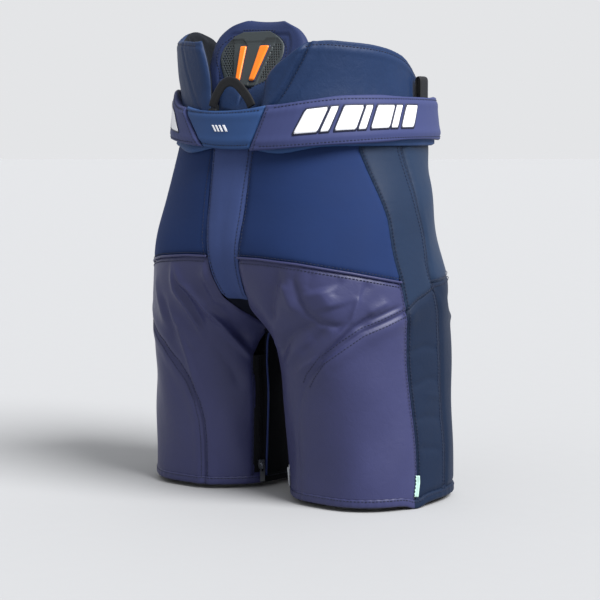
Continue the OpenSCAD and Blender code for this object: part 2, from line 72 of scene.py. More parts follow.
# Height, outer x, inner x, back y, front y, in millimetres
STATIONS = np.array([
    [0, 194, 20, 97, -97], [60, 192, 16, 99, -99], [120, 187, 13, 105, -104], [160, 184, 11, 112, -109],
    [195, 183, 2, 120, -112], [235, 184, -38, 134, -116], [290, 178, -105, 146, -120],
    [350, 170, -152, 138, -122], [415, 152, -152, 127, -118], [480, 144, -144, 120, -112],
    [560, 140, -140, 112, -104]]) / 1000
LINER = np.array([[223, 150, -150, 82, -82], [250, 158, -158, 88, -86], [300, 160, -160, 108, -98],
                  [350, 152, -152, 118, -104], [424, 133, -133, 108, -100]]) / 1000
SQUARENESS = 2.25
DEGREE = 0.0017            # about how far one degree round a leg reaches, in metres


def profile(z, column, table=STATIONS):
    """Smooth value of one column of a station table at heights z."""
    heights, values = table[:, 0], table[:, column]
    last = len(heights) - 1
    before, after = np.maximum(np.arange(last + 1) - 1, 0), np.minimum(np.arange(last + 1) + 1, last)
    slopes = (values[after] - values[before]) / (heights[after] - heights[before])
    i = np.clip(np.searchsorted(heights, z, side="right") - 1, 0, last - 1)
    h = heights[i + 1] - heights[i]
    t = np.clip((z - heights[i]) / h, 0, 1)
    return ((2 * t**3 - 3 * t**2 + 1) * values[i] + (3 * t**2 - 2 * t**3) * values[i + 1]
            + h * ((t**3 - 2 * t**2 + t) * slopes[i] + (t**3 - t**2) * slopes[i + 1]))


def section(z, off=0.0):
    """Centre and radii of the section at heights z, grown by off."""
    outer, inner, back, front = (profile(z, k) for k in (1, 2, 3, 4))
    return (outer + inner) / 2, (outer - inner) / 2 + off, (back + front) / 2, (back - front) / 2 + off


def bow(c, power=2 / SQUARENESS):
    """A sine or cosine bent so that the round section becomes squarer."""
    return np.sign(c) * np.abs(c) ** power


def wrapped(a):
    """The same angles between -180 and 180 degrees."""
    return (np.asarray(a, float) + 180) % 360 - 180


def rounded(x, by=0.004):
    """Distance from the middle plane with its corner rounded off."""
    return np.sqrt(x**2 + by**2)


def stand_off(a):
    """How far the belt stands off the body at the front corners."""
    return 0.011 * np.exp(-((np.abs(np.asarray(a, float) + 90) - 50) / 22) ** 2)


def under_belt(z, a):
    """How far the top of the shell is drawn out after the belt."""
    return 0.85 * stand_off(a) * smooth((z - 0.375) / 0.045) * smooth((0.436 - z) / 0.006)


def lie(z, a, side):
    """How the worn-in body differs from the even loft.

    It follows the belt at the top, lies flatter on the left side and stands out at the right front.
    """
    a = wrapped(a)
    total = under_belt(z, a)
    if side == 1:
        flat = 0.0052 * np.exp(-((a - 38) / 27) ** 2)
        return total - flat * smooth((z - 0.15) / 0.07) * smooth((0.50 - z) / 0.05)
    return total + 0.0040 * np.exp(-((a + 38) / 24) ** 2) * smooth((0.31 - z) / 0.06)


def body_point(z, a, off=0.0, side=1):
    """Points of the body at heights z and angles a, off metres outside it."""
    z, a, off = np.broadcast_arrays(np.asarray(z, float), a, np.asarray(off, float) + lie(z, a, side))
    a = np.radians(a)
    cx, rx, cy, ry = section(z, off)
    return np.stack([side * (cx + rx * bow(np.cos(a))), cy + ry * bow(np.sin(a)), z], -1)


def angle_at(z, w):
    """Angle at which the section crosses the plane x = w."""
    cx, rx, _, _ = section(np.asarray(z, float))
    return np.degrees(np.arccos(np.clip(bow((w - cx) / rx, SQUARENESS / 2), -1, 1)))


def angle_of(points, side):
    """Angle round the half section of points near the body."""
    cx, rx, cy, ry = section(points[..., 2])
    c = bow((side * points[..., 0] - cx) / rx, SQUARENESS / 2)
    s = bow((points[..., 1] - cy) / ry, SQUARENESS / 2)
    return np.degrees(np.arctan2(s, c))


def depth_at(x, z, side):
    """Depth y of the body at x: side is 1 for the back and -1 for the front."""
    cx, rx, cy, ry = section(z)
    u = np.clip(np.abs(np.abs(x) - cx) / rx, 0, 1)
    return cy + side * ry * (1 - u**SQUARENESS) ** (1 / SQUARENESS)


def smooth(x):
    """A soft step from 0 to 1."""
    t = np.clip(x, 0, 1)
    return t * t * (3 - 2 * t)


# ---------------------------------------------------------------- where the seams run

SHELL_TOP = 0.424
INNER_TOP = 0.165          # height at which the legs meet
ZIP_ANGLE = 155
ZIP_HALF = 4.5             # half the angle that the zipper takes up
FRONT_SPLIT = 235          # the seam between the inner and the front leg panel
HEM_FOLD = 0.009           # height of the turned hem
THIGH_SEAM = [(13, 0.226), (28, 0.216), (44, 0.206), (61, 0.190), (77, 0.174), (88, 0.155), (97, 0.132),
              (103, 0.108), (107, 0.084), (108.5, 0.060), (109.5, 0.0)]


def strip_half(z):
    """Half width of the strip down the middle of the back."""
    heights = [0.195, 0.214, 0.228, 0.238, 0.262, 0.33, 0.415]
    return np.interp(z, heights, [0.004, 0.005, 0.011, 0.0175, 0.021, 0.027, 0.030])


def strip_back(z):
    """Angle of the side strip's back edge."""
    return np.interp(z, [0, 0.03, 0.12, 0.17, 0.21, 0.262, 0.33, 0.406], [16, 12.5, 14, 14, 12, 12, 17, 28])


def strip_front(z):
    """Angle of the side strip's front edge."""
    return np.interp(z, [0, 0.22, 0.264, 0.308, 0.338, 0.408], [-15, -15, -10, -8, -4, 0])


def seat_seam(a):
    """Height of the seam between the seat and the thigh."""
    return np.interp(a, [13, 40, 67, 85, 110], [0.260, 0.272, 0.282, 0.286, 0.287])


def front_seam(a):
    """Height of the seam between the upper and the leg front panel."""
    return np.interp(a, [-110, -60, -10], [0.262, 0.262, 0.254])


def strip_seam(a):
    """Height of the seam across the side strip."""
    return np.interp(a, [-15, 1, 13], [0.252, 0.238, 0.225])


def hem_line(a):
    """Height of the folded hem: it dips to a tip behind the side strip."""
    return 0.0055 - 0.0053 * np.exp(-((wrapped(a) - 14) / 8) ** 2)


def hem_top(a):
    """Height at which the leg panels end in the turned hem."""
    return hem_line(a) + HEM_FOLD

# ---------------------------------------------------------------- folds in the fabric

# Each fold is a path of (angle, height) points, its half width and its height in metres; valleys are negative
FOLDS = {
    -1: [
        ([(76, 0.280), (80, 0.268), (85, 0.258), (92, 0.242), (99, 0.226), (106, 0.208)], 0.0055, -0.0066),
        ([(66, 0.280), (73, 0.264), (76, 0.242), (75, 0.227), (69, 0.216), (59, 0.213), (48, 0.219)],
         0.0040, -0.0034),
        ([(58, 0.232), (62, 0.256)], 0.0160, 0.0048),
        ([(84, 0.226), (81, 0.262)], 0.0060, 0.0030),
        ([(36, 0.262), (44, 0.234), (49, 0.220), (58, 0.206), (71, 0.188), (87, 0.168), (104, 0.150)],
         0.0030, 0.0042),
        ([(28, 0.232), (48, 0.212), (59, 0.198), (76, 0.180), (88, 0.166)], 0.0034, -0.0040),
        ([(13, 0.235), (27, 0.226), (37, 0.219), (50, 0.206)], 0.0034, -0.0042),
        ([(22, 0.240), (38, 0.226)], 0.0050, 0.0020),
        ([(66, 0.212), (83, 0.192), (94, 0.178)], 0.0042, -0.0034),
        ([(70, 0.218), (87, 0.208), (104, 0.190), (116, 0.172)], 0.0062, -0.0060),
        ([(78, 0.200), (96, 0.180), (112, 0.160)], 0.0050, 0.0028),
        ([(96, 0.222), (112, 0.198), (126, 0.176)], 0.0070, 0.0030),
        ([(60, 0.274), (68, 0.254)], 0.0036, -0.0010),
        ([(46, 0.268), (56, 0.246)], 0.0040, -0.0012),
        ([(32, 0.262), (42, 0.242)], 0.0045, -0.0016),
    ],
    1: [
        ([(77, 0.276), (85, 0.244), (93, 0.226), (102, 0.208), (109, 0.194), (114, 0.182)], 0.0030, 0.0044),
        ([(79, 0.276), (88, 0.252), (99, 0.236), (109, 0.220), (123, 0.204), (136, 0.184), (152, 0.156)],
         0.0032, 0.0058),
        ([(120, 0.202), (130, 0.188), (141, 0.172), (150, 0.156)], 0.0026, 0.0022),
        ([(80, 0.232), (91, 0.200), (96, 0.174), (100, 0.152), (103, 0.128), (106, 0.100)], 0.0040, 0.0040),
        ([(95, 0.278), (99, 0.262), (104, 0.248), (110, 0.236), (120, 0.224)], 0.0034, 0.0036),
        ([(88, 0.216), (99, 0.188), (107, 0.168)], 0.0070, 0.0030),
        ([(83, 0.258), (93, 0.236), (105, 0.213), (114, 0.196)], 0.0040, -0.0040),
        ([(94, 0.262), (108, 0.238), (124, 0.216), (142, 0.186), (150, 0.170)], 0.0080, -0.0050),
        ([(74, 0.240), (84, 0.206), (90, 0.176)], 0.0055, -0.0034),
        ([(62, 0.262), (72, 0.226), (80, 0.196)], 0.0060, 0.0020),
        ([(118, 0.180), (132, 0.150), (140, 0.120)], 0.0090, -0.0020),
    ],
    0: [  # the same on both halves, at the front and the inner leg
        ([(-30, 0.236), (-60, 0.216), (-86, 0.208), (-102, 0.200)], 0.0060, -0.0036),
        ([(-40, 0.216), (-72, 0.194), (-98, 0.182)], 0.0065, 0.0036),
        ([(-35, 0.262), (-66, 0.246), (-90, 0.240)], 0.0075, 0.0040),
        ([(-50, 0.186), (-80, 0.166), (-98, 0.158)], 0.0060, -0.0034),
        ([(190, 0.150), (205, 0.120), (215, 0.080)], 0.0080, 0.0030),
        ([(175, 0.140), (184, 0.100), (188, 0.060)], 0.0080, -0.0025),
        ([(-14, 0.176), (0, 0.184), (14, 0.178)], 0.0040, -0.0014),
        ([(-14, 0.140), (-2, 0.146), (14, 0.138)], 0.0045, -0.0014),
        ([(-14, 0.122), (4, 0.130)], 0.0040, 0.0010),
        ([(-14, 0.096), (4, 0.104), (14, 0.100)], 0.0045, -0.0013),
        ([(-10, 0.062), (12, 0.070)], 0.0040, -0.0012),
        ([(-20, 0.236), (-9, 0.262), (-6, 0.290)], 0.0050, -0.0020),
    ],
}
WAVES = np.random.default_rng(7).uniform(-1, 1, (7, 4))   # slow unevenness: two turns, a phase and a size


def near_path(a, z, path):
    """Distance in metres to a path of (angle, height) points, and the share of the way along it."""
    p = np.stack([np.asarray(a, float) * DEGREE, z], -1)
    q = np.array([(x * DEGREE, y) for x, y in path])
    lengths = np.linalg.norm(np.diff(q, axis=0), axis=1)
    starts = np.concatenate([[0], np.cumsum(lengths)])
    best, along = np.full(p.shape[:-1], 1e9), np.zeros(p.shape[:-1])
    for i, length in enumerate(lengths):
        d = (q[i + 1] - q[i]) / length
        t = np.clip((p - q[i]) @ d, 0, length)
        distance = np.linalg.norm(p - q[i] - t[..., None] * d, axis=-1)
        closer = distance < best
        best, along = np.where(closer, distance, best), np.where(closer, starts[i] + t, along)
    return best, along / starts[-1]


def relief(a, z, side):
    """How far the fabric stands out of the plain body at angles a and heights z."""
    a, z = np.broadcast_arrays(np.asarray(a, float), np.asarray(z, float))
    a = np.where(a > 250, a - 360, a)
    total = np.zeros(a.shape)
    for path, width, height in FOLDS[side] + FOLDS[0]:
        for turn in (0, 360) if min(path)[0] > 150 else (0,):
            distance, along = near_path(a + turn, z, path)
            fade = smooth((along + 0.06) / 0.3) * smooth((1.04 - along) / 0.3)
            total = total + height * fade * np.exp(-(distance / width) ** 1.5)
    for turn_a, turn_z, phase, size in WAVES:
        total = total + 0.00028 * (0.5 + abs(size)) * np.sin(
            a * DEGREE * 95 * turn_a + z * 80 * turn_z + 9 * phase + side)
    distance, _ = near_path(a, z, THIGH_SEAM)
    on_leg = smooth((0.245 - z) / 0.02)
    if side == -1:          # pulled flat low on the right leg
        on_leg = on_leg * (0.2 + 0.8 * smooth((z - 0.140) / 0.02))
    ridge = 0.0016 * np.exp(-((distance - 0.009) / 0.007) ** 2)
    groove = 0.0022 * np.exp(-(distance / 0.0022) ** 2)
    return total + on_leg * (ridge - groove)


# ---------------------------------------------------------------- meshes from grids

def new_object(name, points, faces, material, uvs=None, shade=True):
    mesh = bpy.data.meshes.new(name)
    mesh.from_pydata(np.asarray(points, float).tolist(), [], faces)
    if uvs is not None:
        layer = mesh.uv_layers.new(name="cloth")
        loops = np.zeros(len(mesh.loops), np.int32)
        mesh.loops.foreach_get("vertex_index", loops)
        layer.data.foreach_set("uv", np.asarray(uvs, np.float32)[loops].ravel())
    for m in material if isinstance(material, (list, tuple)) else [material]:
        mesh.materials.append(m)
    if shade:
        mesh.shade_smooth()
    mesh.validate()
    made = bpy.data.objects.new(name, mesh)
    bpy.context.scene.collection.objects.link(made)
    return made


def grid_faces(rows, columns, start, flip):
    """Quads between the points of a grid that is stored row after row."""
    faces = []
    for i in range(rows - 1):
        for j in range(columns - 1):
            a, b = start + i * columns + j, start + (i + 1) * columns + j
            quad = (a, b, b + 1, a + 1)
            faces.append(quad[::-1] if flip else quad)
    return faces


def rim_faces(rows, columns, other, flip):
    """Quads that join the border of one grid to the border of a second one, other points later."""
    border = [(i, 0) for i in range(rows)] + [(rows - 1, j) for j in range(1, columns)]
    border += [(i, columns - 1) for i in range(rows - 2, -1, -1)]
    border += [(0, j) for j in range(columns - 2, 0, -1)]
    ids = [i * columns + j for i, j in border]
    faces = []
    for p, q in zip(ids, ids[1:] + ids[:1]):
        quad = (q, p, p + other, q + other)
        faces.append(quad[::-1] if flip else quad)
    return faces


def closed_grid(name, outer, inner, material, uvs, side=1):
    """A closed mesh between two grids of points; side -1 is a mirrored one."""
    rows, columns = outer.shape[:2]
    count = rows * columns
    flip = side < 0
    faces = (grid_faces(rows, columns, 0, flip) + grid_faces(rows, columns, count, not flip)
             + rim_faces(rows, columns, count, flip))
    points = np.concatenate([outer.reshape(-1, 3), inner.reshape(-1, 3)])
    return new_object(name, points, faces, material, np.concatenate([uvs.reshape(-1, 2)] * 2))


def surface_area(points):
    """Area of a grid of points, two triangles to a cell."""
    a, b, c, d = points[:-1, :-1], points[1:, :-1], points[1:, 1:], points[:-1, 1:]
    return float(sum(np.linalg.norm(np.cross(p - a, q - a), axis=-1).sum() for p, q in ((b, c), (c, d))) / 2)


class Patch:
    """A piece of the body wall between two edge angles and two edge heights."""

    def __init__(self, start, end, low, high, side, step=0.0024, off=0.0, folds=True):
        self.start, self.end, self.low, self.high = start, end, low, high
        self.side, self.off, self.folds = side, off, folds
        middle = self.coordinates(np.linspace(0, 1, 40)[:, None], np.array([[0.0, 0.5, 1.0]]))
        points = body_point(middle[1], middle[0])
        self.wide = float(np.linalg.norm(np.diff(points, axis=0), axis=-1).sum(0).max())
        ends = self.coordinates(np.linspace(0, 1, 9)[:, None], np.array([[0.0, 1.0]]))
        self.tall = float(np.max(ends[1][:, 1] - ends[1][:, 0]))
        self.rows, self.columns = max(4, int(self.wide / step)) + 1, max(3, int(self.tall / step)) + 1

    def coordinates(self, s, t):
        """Angle and height at the shares s and t of the patch."""
        guess = 0.5 * (self.start(0.25) + self.end(0.25))
        z = None
        for _ in range(3):
            a = guess if z is None else self.start(z) + (self.end(z) - self.start(z)) * s
            low, high = self.low(a), self.high(a)
            z = low + (high - low) * t
        a = self.start(z) + (self.end(z) - self.start(z)) * s
        return np.broadcast_arrays(a, z)

    def point(self, s, t, lift=0.0):
        """Points at the shares s and t, lift metres outside the patch."""
        a, z = self.coordinates(np.asarray(s, float), np.asarray(t, float))
        off = self.off + lift + (relief(a, z, self.side) if self.folds else 0)
        return body_point(z, a, off, self.side)

    def grid(self):
        return np.linspace(0, 1, self.rows)[:, None], np.linspace(0, 1, self.columns)[None, :]

    def flat_area(self):
        """Area of the cloth as it is cut: the even body under the patch, with no folds and no seams."""
        a, z = self.coordinates(*self.grid())
        return surface_area(body_point(z, a, 0, self.side))

    def edge_distance(self, s, t):
        """Distance in metres to the start, end, low and high edges."""
        s, t = np.broadcast_arrays(s, t)
        return {"start": s * self.wide, "end": (1 - s) * self.wide,
                "low": t * self.tall, "high": (1 - t) * self.tall}


def pucker(distance, along, pitch=0.009, height=0.00018, reach=0.006):
    """Small gathers that a seam pulls into the fabric beside it."""
    return height * np.exp(-distance / reach) * np.sin(2 * math.pi * along / pitch + 3 * np.sin(along * 90))


CLOTH_THICK = 0.0016
SEAM_DIP = 0.0022          # how deep a sewn edge sinks in
SEAM_REACH = 0.0045        # how far from the seam it starts to


def sewn_panel(name, patch, material, slot, nodes, seams=("start", "end", "low", "high")):
    """A shell panel whose sewn edges sink into the seams; it replaces CAD nodes on the patch's side."""
    s, t = patch.grid()
    lift = np.zeros(np.broadcast(s, t).shape)
    a, z = patch.coordinates(s, t)
    run = {"start": z, "end": z, "low": a * DEGREE, "high": a * DEGREE}
    for edge, distance in patch.edge_distance(s, t).items():
        if edge in seams:
            lift = lift - SEAM_DIP * np.exp(-(distance / SEAM_REACH) ** 2) + pucker(distance, run[edge])
    uvs = np.stack([a * DEGREE, z], -1)
    outer, inner = patch.point(s, t, lift), patch.point(s, t, lift - CLOTH_THICK)
    made = closed_grid(f"{name}_{SIDES[patch.side]}", outer, inner, material, uvs, patch.side)
    show(made, patch.side, slot, *(f"{node}_{SIDES[patch.side]}" for node in nodes))
    as_sheet(patch.wide, patch.tall, patch.flat_area())


# ---------------------------------------------------------------- stitches and cords of trim

threads = {}               # runs of stitches, kept by what they ride on


def stitch(key, points, normals, pitch=0.0042, length=0.0030, radius=0.00042):
    """Adds a run of stitches along points; key says what the thread rides on."""
    points, normals = np.asarray(points, float), np.asarray(normals, float)
    steps = np.linalg.norm(np.diff(points, axis=0), axis=1)
    reach = np.concatenate([[0], np.cumsum(steps)])
    store = threads.setdefault(key, ([], []))
    sides, rings = 5, ((-0.5, -0.5, 0.5), (-0.34, 0.75, 1.0), (0.34, 0.75, 1.0), (0.5, -0.5, 0.5))
    for begin in np.arange(pitch / 2, reach[-1] - pitch / 2, pitch):
        centre = np.array([np.interp(begin, reach, points[:, k]) for k in range(3)])
        ahead = np.array([np.interp(begin + length / 2, reach, points[:, k]) for k in range(3)])
        up = np.array([np.interp(begin, reach, normals[:, k]) for k in range(3)])
        along = (ahead - centre) / max(np.linalg.norm(ahead - centre), 1e-9)
        across = np.cross(along, up)
        first = len(store[0])
        for share, rise, size in rings:
            for k in range(sides):
                turn = 2 * math.pi * k / sides
                store[0].append(centre + along * share * length + up * radius * rise
                                + radius * size * (math.cos(turn) * across + 0.8 * math.sin(turn) * up))
        for r in range(len(rings) - 1):
            for k in range(sides):
                p, q = first + r * sides + k, first + r * sides + (k + 1) % sides
                store[1].append((p, q, q + sides, p + sides))
        store[1].append(tuple(first + k for k in reversed(range(sides))))
        store[1].append(tuple(first + (len(rings) - 1) * sides + k for k in range(sides)))


def surface_run(function, u):
    """Points along function(u) and the outward normals, found from the loft beside them."""
    points, lifted = function(u, 0.0), function(u, 0.001)
    normals = (lifted - points) / 0.001
    return points, normals / np.linalg.norm(normals, axis=1)[:, None]


def stitch_edge(patch, edge, inset, span=(0.0, 1.0)):
    """Stitches in the leg fabric along one edge of a patch, inset metres inside it."""
    share = inset / (patch.wide if edge in ("start", "end") else patch.tall)
    share = share if edge in ("start", "low") else 1 - share
    line = ((lambda u, up: patch.point(share, u, up)) if edge in ("start", "end")
            else (lambda u, up: patch.point(u, share, up)))
    stitch("leg_" + SIDES[patch.side], *surface_run(line, np.linspace(*span, 160)))


def tube(name, points, radius, material, sides=8):
    """A round cord of trim along points."""
    ahead = np.roll(points, -1, 0) - np.roll(points, 1, 0)
    ahead[0], ahead[-1] = points[1] - points[0], points[-1] - points[-2]
    ahead /= np.linalg.norm(ahead, axis=1)[:, None]
    up = np.cross(ahead, [0.0, 0.0, 1.0])
    up[np.linalg.norm(up, axis=1) < 1e-3] = [1.0, 0.0, 0.0]
    up /= np.linalg.norm(up, axis=1)[:, None]
    across = np.cross(ahead, up)
    turns = np.linspace(0, 2 * math.pi, sides, endpoint=False)
    rings = (points[:, None] + radius * (np.cos(turns)[None, :, None] * up[:, None]
                                         + np.sin(turns)[None, :, None] * across[:, None]))
    count, faces = len(points), []
    for i in range(count - 1):
        for k in range(sides):
            j, m = i + 1, (k + 1) % sides
            faces.append((i * sides + k, i * sides + m, j * sides + m, j * sides + k))
    faces += [tuple(range(sides))[::-1], tuple((count - 1) * sides + k for k in range(sides))]
    uvs = np.stack(np.broadcast_arrays(turns[None, :] * radius, np.arange(count)[:, None] * 0.002), -1)
    return new_object(name, rings.reshape(-1, 3), faces, material, uvs.reshape(-1, 2))


# ---------------------------------------------------------------- materials

def linear(code):
    """Linear colour of an sRGB hex code."""
    values = [int(code[i:i + 2], 16) / 255 for i in (0, 2, 4)]
    return [v / 12.92 if v <= 0.04045 else ((v + 0.055) / 1.055) ** 2.4 for v in values] + [1.0]


class Nodes:
    """A short way to write a node tree."""

    def __init__(self, name):
        self.material = bpy.data.materials.new(name)
        self.material.use_nodes = True
        self.tree = self.material.node_tree
        self.shader = self.tree.nodes["Principled BSDF"]

    def add(self, kind, inputs=None, **settings):
        node = self.tree.nodes.new("ShaderNode" + kind)
        for key, value in settings.items():
            setattr(node, key, value)
        for key, value in (inputs or {}).items():
            if isinstance(value, bpy.types.NodeSocket):
                self.tree.links.new(value, node.inputs[key])
            else:
                node.inputs[key].default_value = value
        return node

    def set(self, **values):
        for key, value in values.items():
            socket = self.shader.inputs[key.replace("_", " ")]
            if isinstance(value, bpy.types.NodeSocket):
                self.tree.links.new(value, socket)
            else:
                socket.default_value = value

    def math(self, operation, a, b=0.0, c=0.0):
        return self.add("Math", {0: a, 1: b, 2: c}, operation=operation).outputs[0]


def two_tones(code, mottle):
    """A darker and a lighter shade of a hex code."""
    base = np.array(linear(code))
    dark, light = list(base * (1 - mottle)), list(np.minimum(base * (1 + mottle), 1))
    dark[3] = light[3] = 1.0
    return dark, light


def cloth(name, code, thread=0.0011, weave=0.35, rough=0.62, sheen=0.1, sheen_code="9aa6d0", mottle=0.12,
          specular=0.3, uv=True, twill=False, creases=0.25):
    """Woven fabric: crossing threads, uneven dye, fine creases and a soft sheen."""
    n = Nodes(name)
    place = n.add("TexCoord").outputs["UV" if uv else "Object"]
    scale = n.add("Mapping", {"Vector": place, "Scale": (1 / thread,) * 3}).outputs[0]
    parts = n.add("SeparateXYZ", {0: scale})
    u, v = parts.outputs[0], parts.outputs[1] if uv else parts.outputs[2]
    if not uv:
        u = n.math("ADD", u, parts.outputs[1])
    if twill:
        v = n.math("ADD", v, n.math("MULTIPLY", u, 0.5))
    warp = n.math("SINE", n.math("MULTIPLY", u, 2 * math.pi))
    weft = n.math("SINE", n.math("MULTIPLY", v, 2 * math.pi))
    height = n.math("MULTIPLY_ADD", n.math("MULTIPLY", warp, weft), 0.5, 0.5)
    dye = n.add("TexNoise", {"Vector": place, "Scale": 26.0, "Detail": 5.0, "Roughness": 0.6}).outputs["Fac"]
    fuzz = n.add("TexNoise", {"Vector": place, "Scale": 900.0, "Detail": 2.0}).outputs["Fac"]
    wrinkle = n.add("TexNoise", {"Vector": place, "Scale": 75.0, "Detail": 6.0, "Roughness": 0.62,
                                 "Distortion": 0.6}).outputs["Fac"]
    dark, light = two_tones(code, mottle)
    mixed = n.add("MixRGB", {"Fac": dye, "Color1": dark, "Color2": light}).outputs[0]
    shade = n.add("MapRange", {"Value": height, "To Min": 1 - weave * 0.55, "To Max": 1 + weave * 0.35})
    tint = n.add("MixRGB", {"Fac": 1.0, "Color1": mixed, "Color2": shade.outputs[0]}, blend_type="MULTIPLY")
    ruff = n.add("MapRange", {"Value": dye, "To Min": rough - 0.07, "To Max": rough + 0.07}).outputs[0]
    threads_and_fuzz = n.math("ADD", n.math("MULTIPLY", height, weave), n.math("MULTIPLY", fuzz, 0.3 * weave))
    fine = n.add("Bump", {"Strength": 0.35, "Distance": 0.0004, "Height": threads_and_fuzz}).outputs[0]
    bump = n.add("Bump", {"Strength": creases, "Distance": 0.004, "Height": wrinkle, "Normal": fine})
    n.set(Base_Color=tint.outputs[0], Roughness=ruff, Normal=bump.outputs[0], Sheen_Weight=sheen,
          Sheen_Roughness=0.45, Sheen_Tint=linear(sheen_code), Specular_IOR_Level=specular)
    return n.material


def plastic(name, code, rough=0.42, grain=0.25, mottle=0.08):
    """Moulded plastic with a fine leather-like grain."""
    n = Nodes(name)
    place = n.add("TexCoord").outputs["Object"]
    grains = n.add("TexVoronoi", {"Vector": place, "Scale": 900.0}).outputs["Distance"]
    blotch = n.add("TexNoise", {"Vector": place, "Scale": 40.0, "Detail": 4.0}).outputs["Fac"]
    dark, light = two_tones(code, mottle)
    tint = n.add("MixRGB", {"Fac": blotch, "Color1": dark, "Color2": light}).outputs[0]
    ruff = n.add("MapRange", {"Value": blotch, "To Min": rough - 0.06, "To Max": rough + 0.08}).outputs[0]
    bump = n.add("Bump", {"Strength": grain, "Distance": 0.0003, "Height": grains}).outputs[0]
    n.set(Base_Color=tint, Roughness=ruff, Normal=bump)
    return n.material


def metal(name, code, rough=0.32):
    """Satin metal with fine brushed lines."""
    n = Nodes(name)
    place = n.add("TexCoord").outputs["Object"]
    stretched = n.add("Mapping", {"Vector": place, "Scale": (60, 60, 2500)}).outputs[0]
    lines = n.add("TexNoise", {"Vector": stretched, "Scale": 1.0, "Detail": 3.0}).outputs["Fac"]
    ruff = n.add("MapRange", {"Value": lines, "To Min": rough - 0.08, "To Max": rough + 0.12}).outputs[0]
    bump = n.add("Bump", {"Strength": 0.08, "Distance": 0.0002, "Height": lines}).outputs[0]
    n.set(Base_Color=linear(code), Metallic=1.0, Roughness=ruff, Normal=bump)
    return n.material


def foam_material(name, code):
    """Closed-cell foam: small pits."""
    n = Nodes(name)
    place = n.add("TexCoord").outputs["Object"]
    cells = n.add("TexVoronoi", {"Vector": place, "Scale": 700.0}).outputs["Distance"]
    bump = n.add("Bump", {"Strength": 0.5, "Distance": 0.0006, "Height": cells}).outputs[0]
    tone = n.add("MixRGB", {"Fac": cells, "Color1": linear(code), "Color2": linear("3d424d")}).outputs[0]
    n.set(Base_Color=tone, Roughness=0.85, Normal=bump)
    return n.material


MATT = {"sheen": 0.03, "creases": 0.15}                         # settings that several cloths share
BELT_LOOK = {"sheen": 0.03, "rough": 0.62, "specular": 0.2, "creases": 0.1}
LINING_LOOK = {"sheen": 0.12, "rough": 0.9, "specular": 0.15, "uv": False}
PRINT_LOOK = {"rough": 0.6, "grain": 0.12}
M = {
    "seat": cloth("seat_cloth", "16284f", sheen=0.10, sheen_code="5f7cc8", rough=0.78, specular=0.14,
                  creases=0.06),
    "strip": cloth("strip_cloth", "33416b", sheen=0.03, rough=0.75, specular=0.14, creases=0.06),
    "thigh": cloth("thigh_cloth", "2b2e53", sheen=0.06, sheen_code="b5b2e0", rough=0.45, specular=0.33,
                   twill=True, creases=0.12),
    "side": cloth("side_strip_cloth", "0f223b", rough=0.6, specular=0.22, **MATT),
    # the lower side strip is the same fabric as the upper one, painted darker as painted shade low on the leg
    "leg_side_painted_shade": cloth("leg_strip_cloth_painted_shade", "0a1a31", rough=0.6, specular=0.17, **MATT),
    # the upper front fabric is painted a little lighter as a painted highlight; the leg front below is the
    # same fabric painted darker as painted shade
    "front": cloth("front_cloth", "10253f", rough=0.56, specular=0.24, **MATT),
    "leg_front": cloth("leg_front_cloth_painted_shade", "08182e", rough=0.58, specular=0.16, **MATT),
    "belt": cloth("belt_cloth", "333a62", **{**BELT_LOOK, "sheen": 0.04}),
    "belt_blue": cloth("belt_blue_cloth", "26416d", **BELT_LOOK),
    "wing": cloth("wing_cloth", "10274a", sheen=0.04, rough=0.55, specular=0.24, creases=0.2, uv=False),
    "spine": cloth("spine_cloth", "1d294d", sheen=0.04, rough=0.65, specular=0.2, thread=0.0008,
                   creases=0.08, uv=False),
    "dark": cloth("dark_cloth", "090d1a", sheen=0.02, rough=0.85, specular=0.1),
    "lining": cloth("lining_plain_cloth", "0d0f14", thread=0.0016, **LINING_LOOK),
    "pad_lining": cloth("pad_lining_cloth", "0c0f12", **LINING_LOOK),
    "inner_leg": cloth("inner_leg_cloth", "05070c", sheen=0.04, rough=0.85, specular=0.15),
    "webbing": cloth("webbing_cloth", "111214", sheen=0.08, rough=0.7, thread=0.0016, weave=0.7, uv=False,
                     mottle=0.1),
    "thread": cloth("thread", "141a30", thread=0.0006, sheen=0.05, uv=False, creases=0.0),
    "piping": cloth("piping_cloth", "14265a", sheen=0.08, rough=0.55, uv=False),
    "tape": cloth("zip_tape_cloth", "07080c", thread=0.0009, weave=0.6, rough=0.8, specular=0.2, uv=False),
    "tag": cloth("tag_cloth", "a8c8bd", thread=0.0006, weave=0.15, mottle=0.04, rough=0.45, uv=False,
                 creases=0.05),
    "print_white": plastic("print_white", "dcdde2", mottle=0.02, **PRINT_LOOK),
    "print_navy": plastic("print_navy", "0a1230", **PRINT_LOOK),
    "plate": plastic("plate_plastic", "262e31", rough=0.5, grain=0.35),
    "plate_dark": plastic("plate_hole_plastic", "06080a", rough=0.8),
    "orange": plastic("orange_plastic", "f07800", grain=0.1, mottle=0.03),
    "zip_plastic": plastic("zip_plastic", "08090e", rough=0.4, grain=0.1),
    "guard": plastic("guard_plastic", "15161a", rough=0.4),
    "foam": foam_material("foam", "262a33"),
    "steel": metal("zip_metal", "9da1a8"),
    "buckle": metal("buckle_metal", "8d9299", 0.38),
}

# ---------------------------------------------------------------- riding on the frame

SIDES = {1: "left", -1: "right"}


def follow_leg(made, side):
    """Bakes the transform of fabric on one leg into its mesh; it does not bend the fabric."""
    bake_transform(made)


def show(made, carrier, slot, *nodes):
    """Says what carries a piece and the CAD nodes that it replaces; its slot is not used.

    The carrier is a body's name, or 1 or -1 for fabric that follows the left or the right leg.
    """
    if carrier in SIDES:
        follow_leg(made, carrier)
    else:
        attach(made, carrier)
    if nodes:
        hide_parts(*nodes)


CUT_LARGER = 1.02          # the flat cloth against the part of it that shows


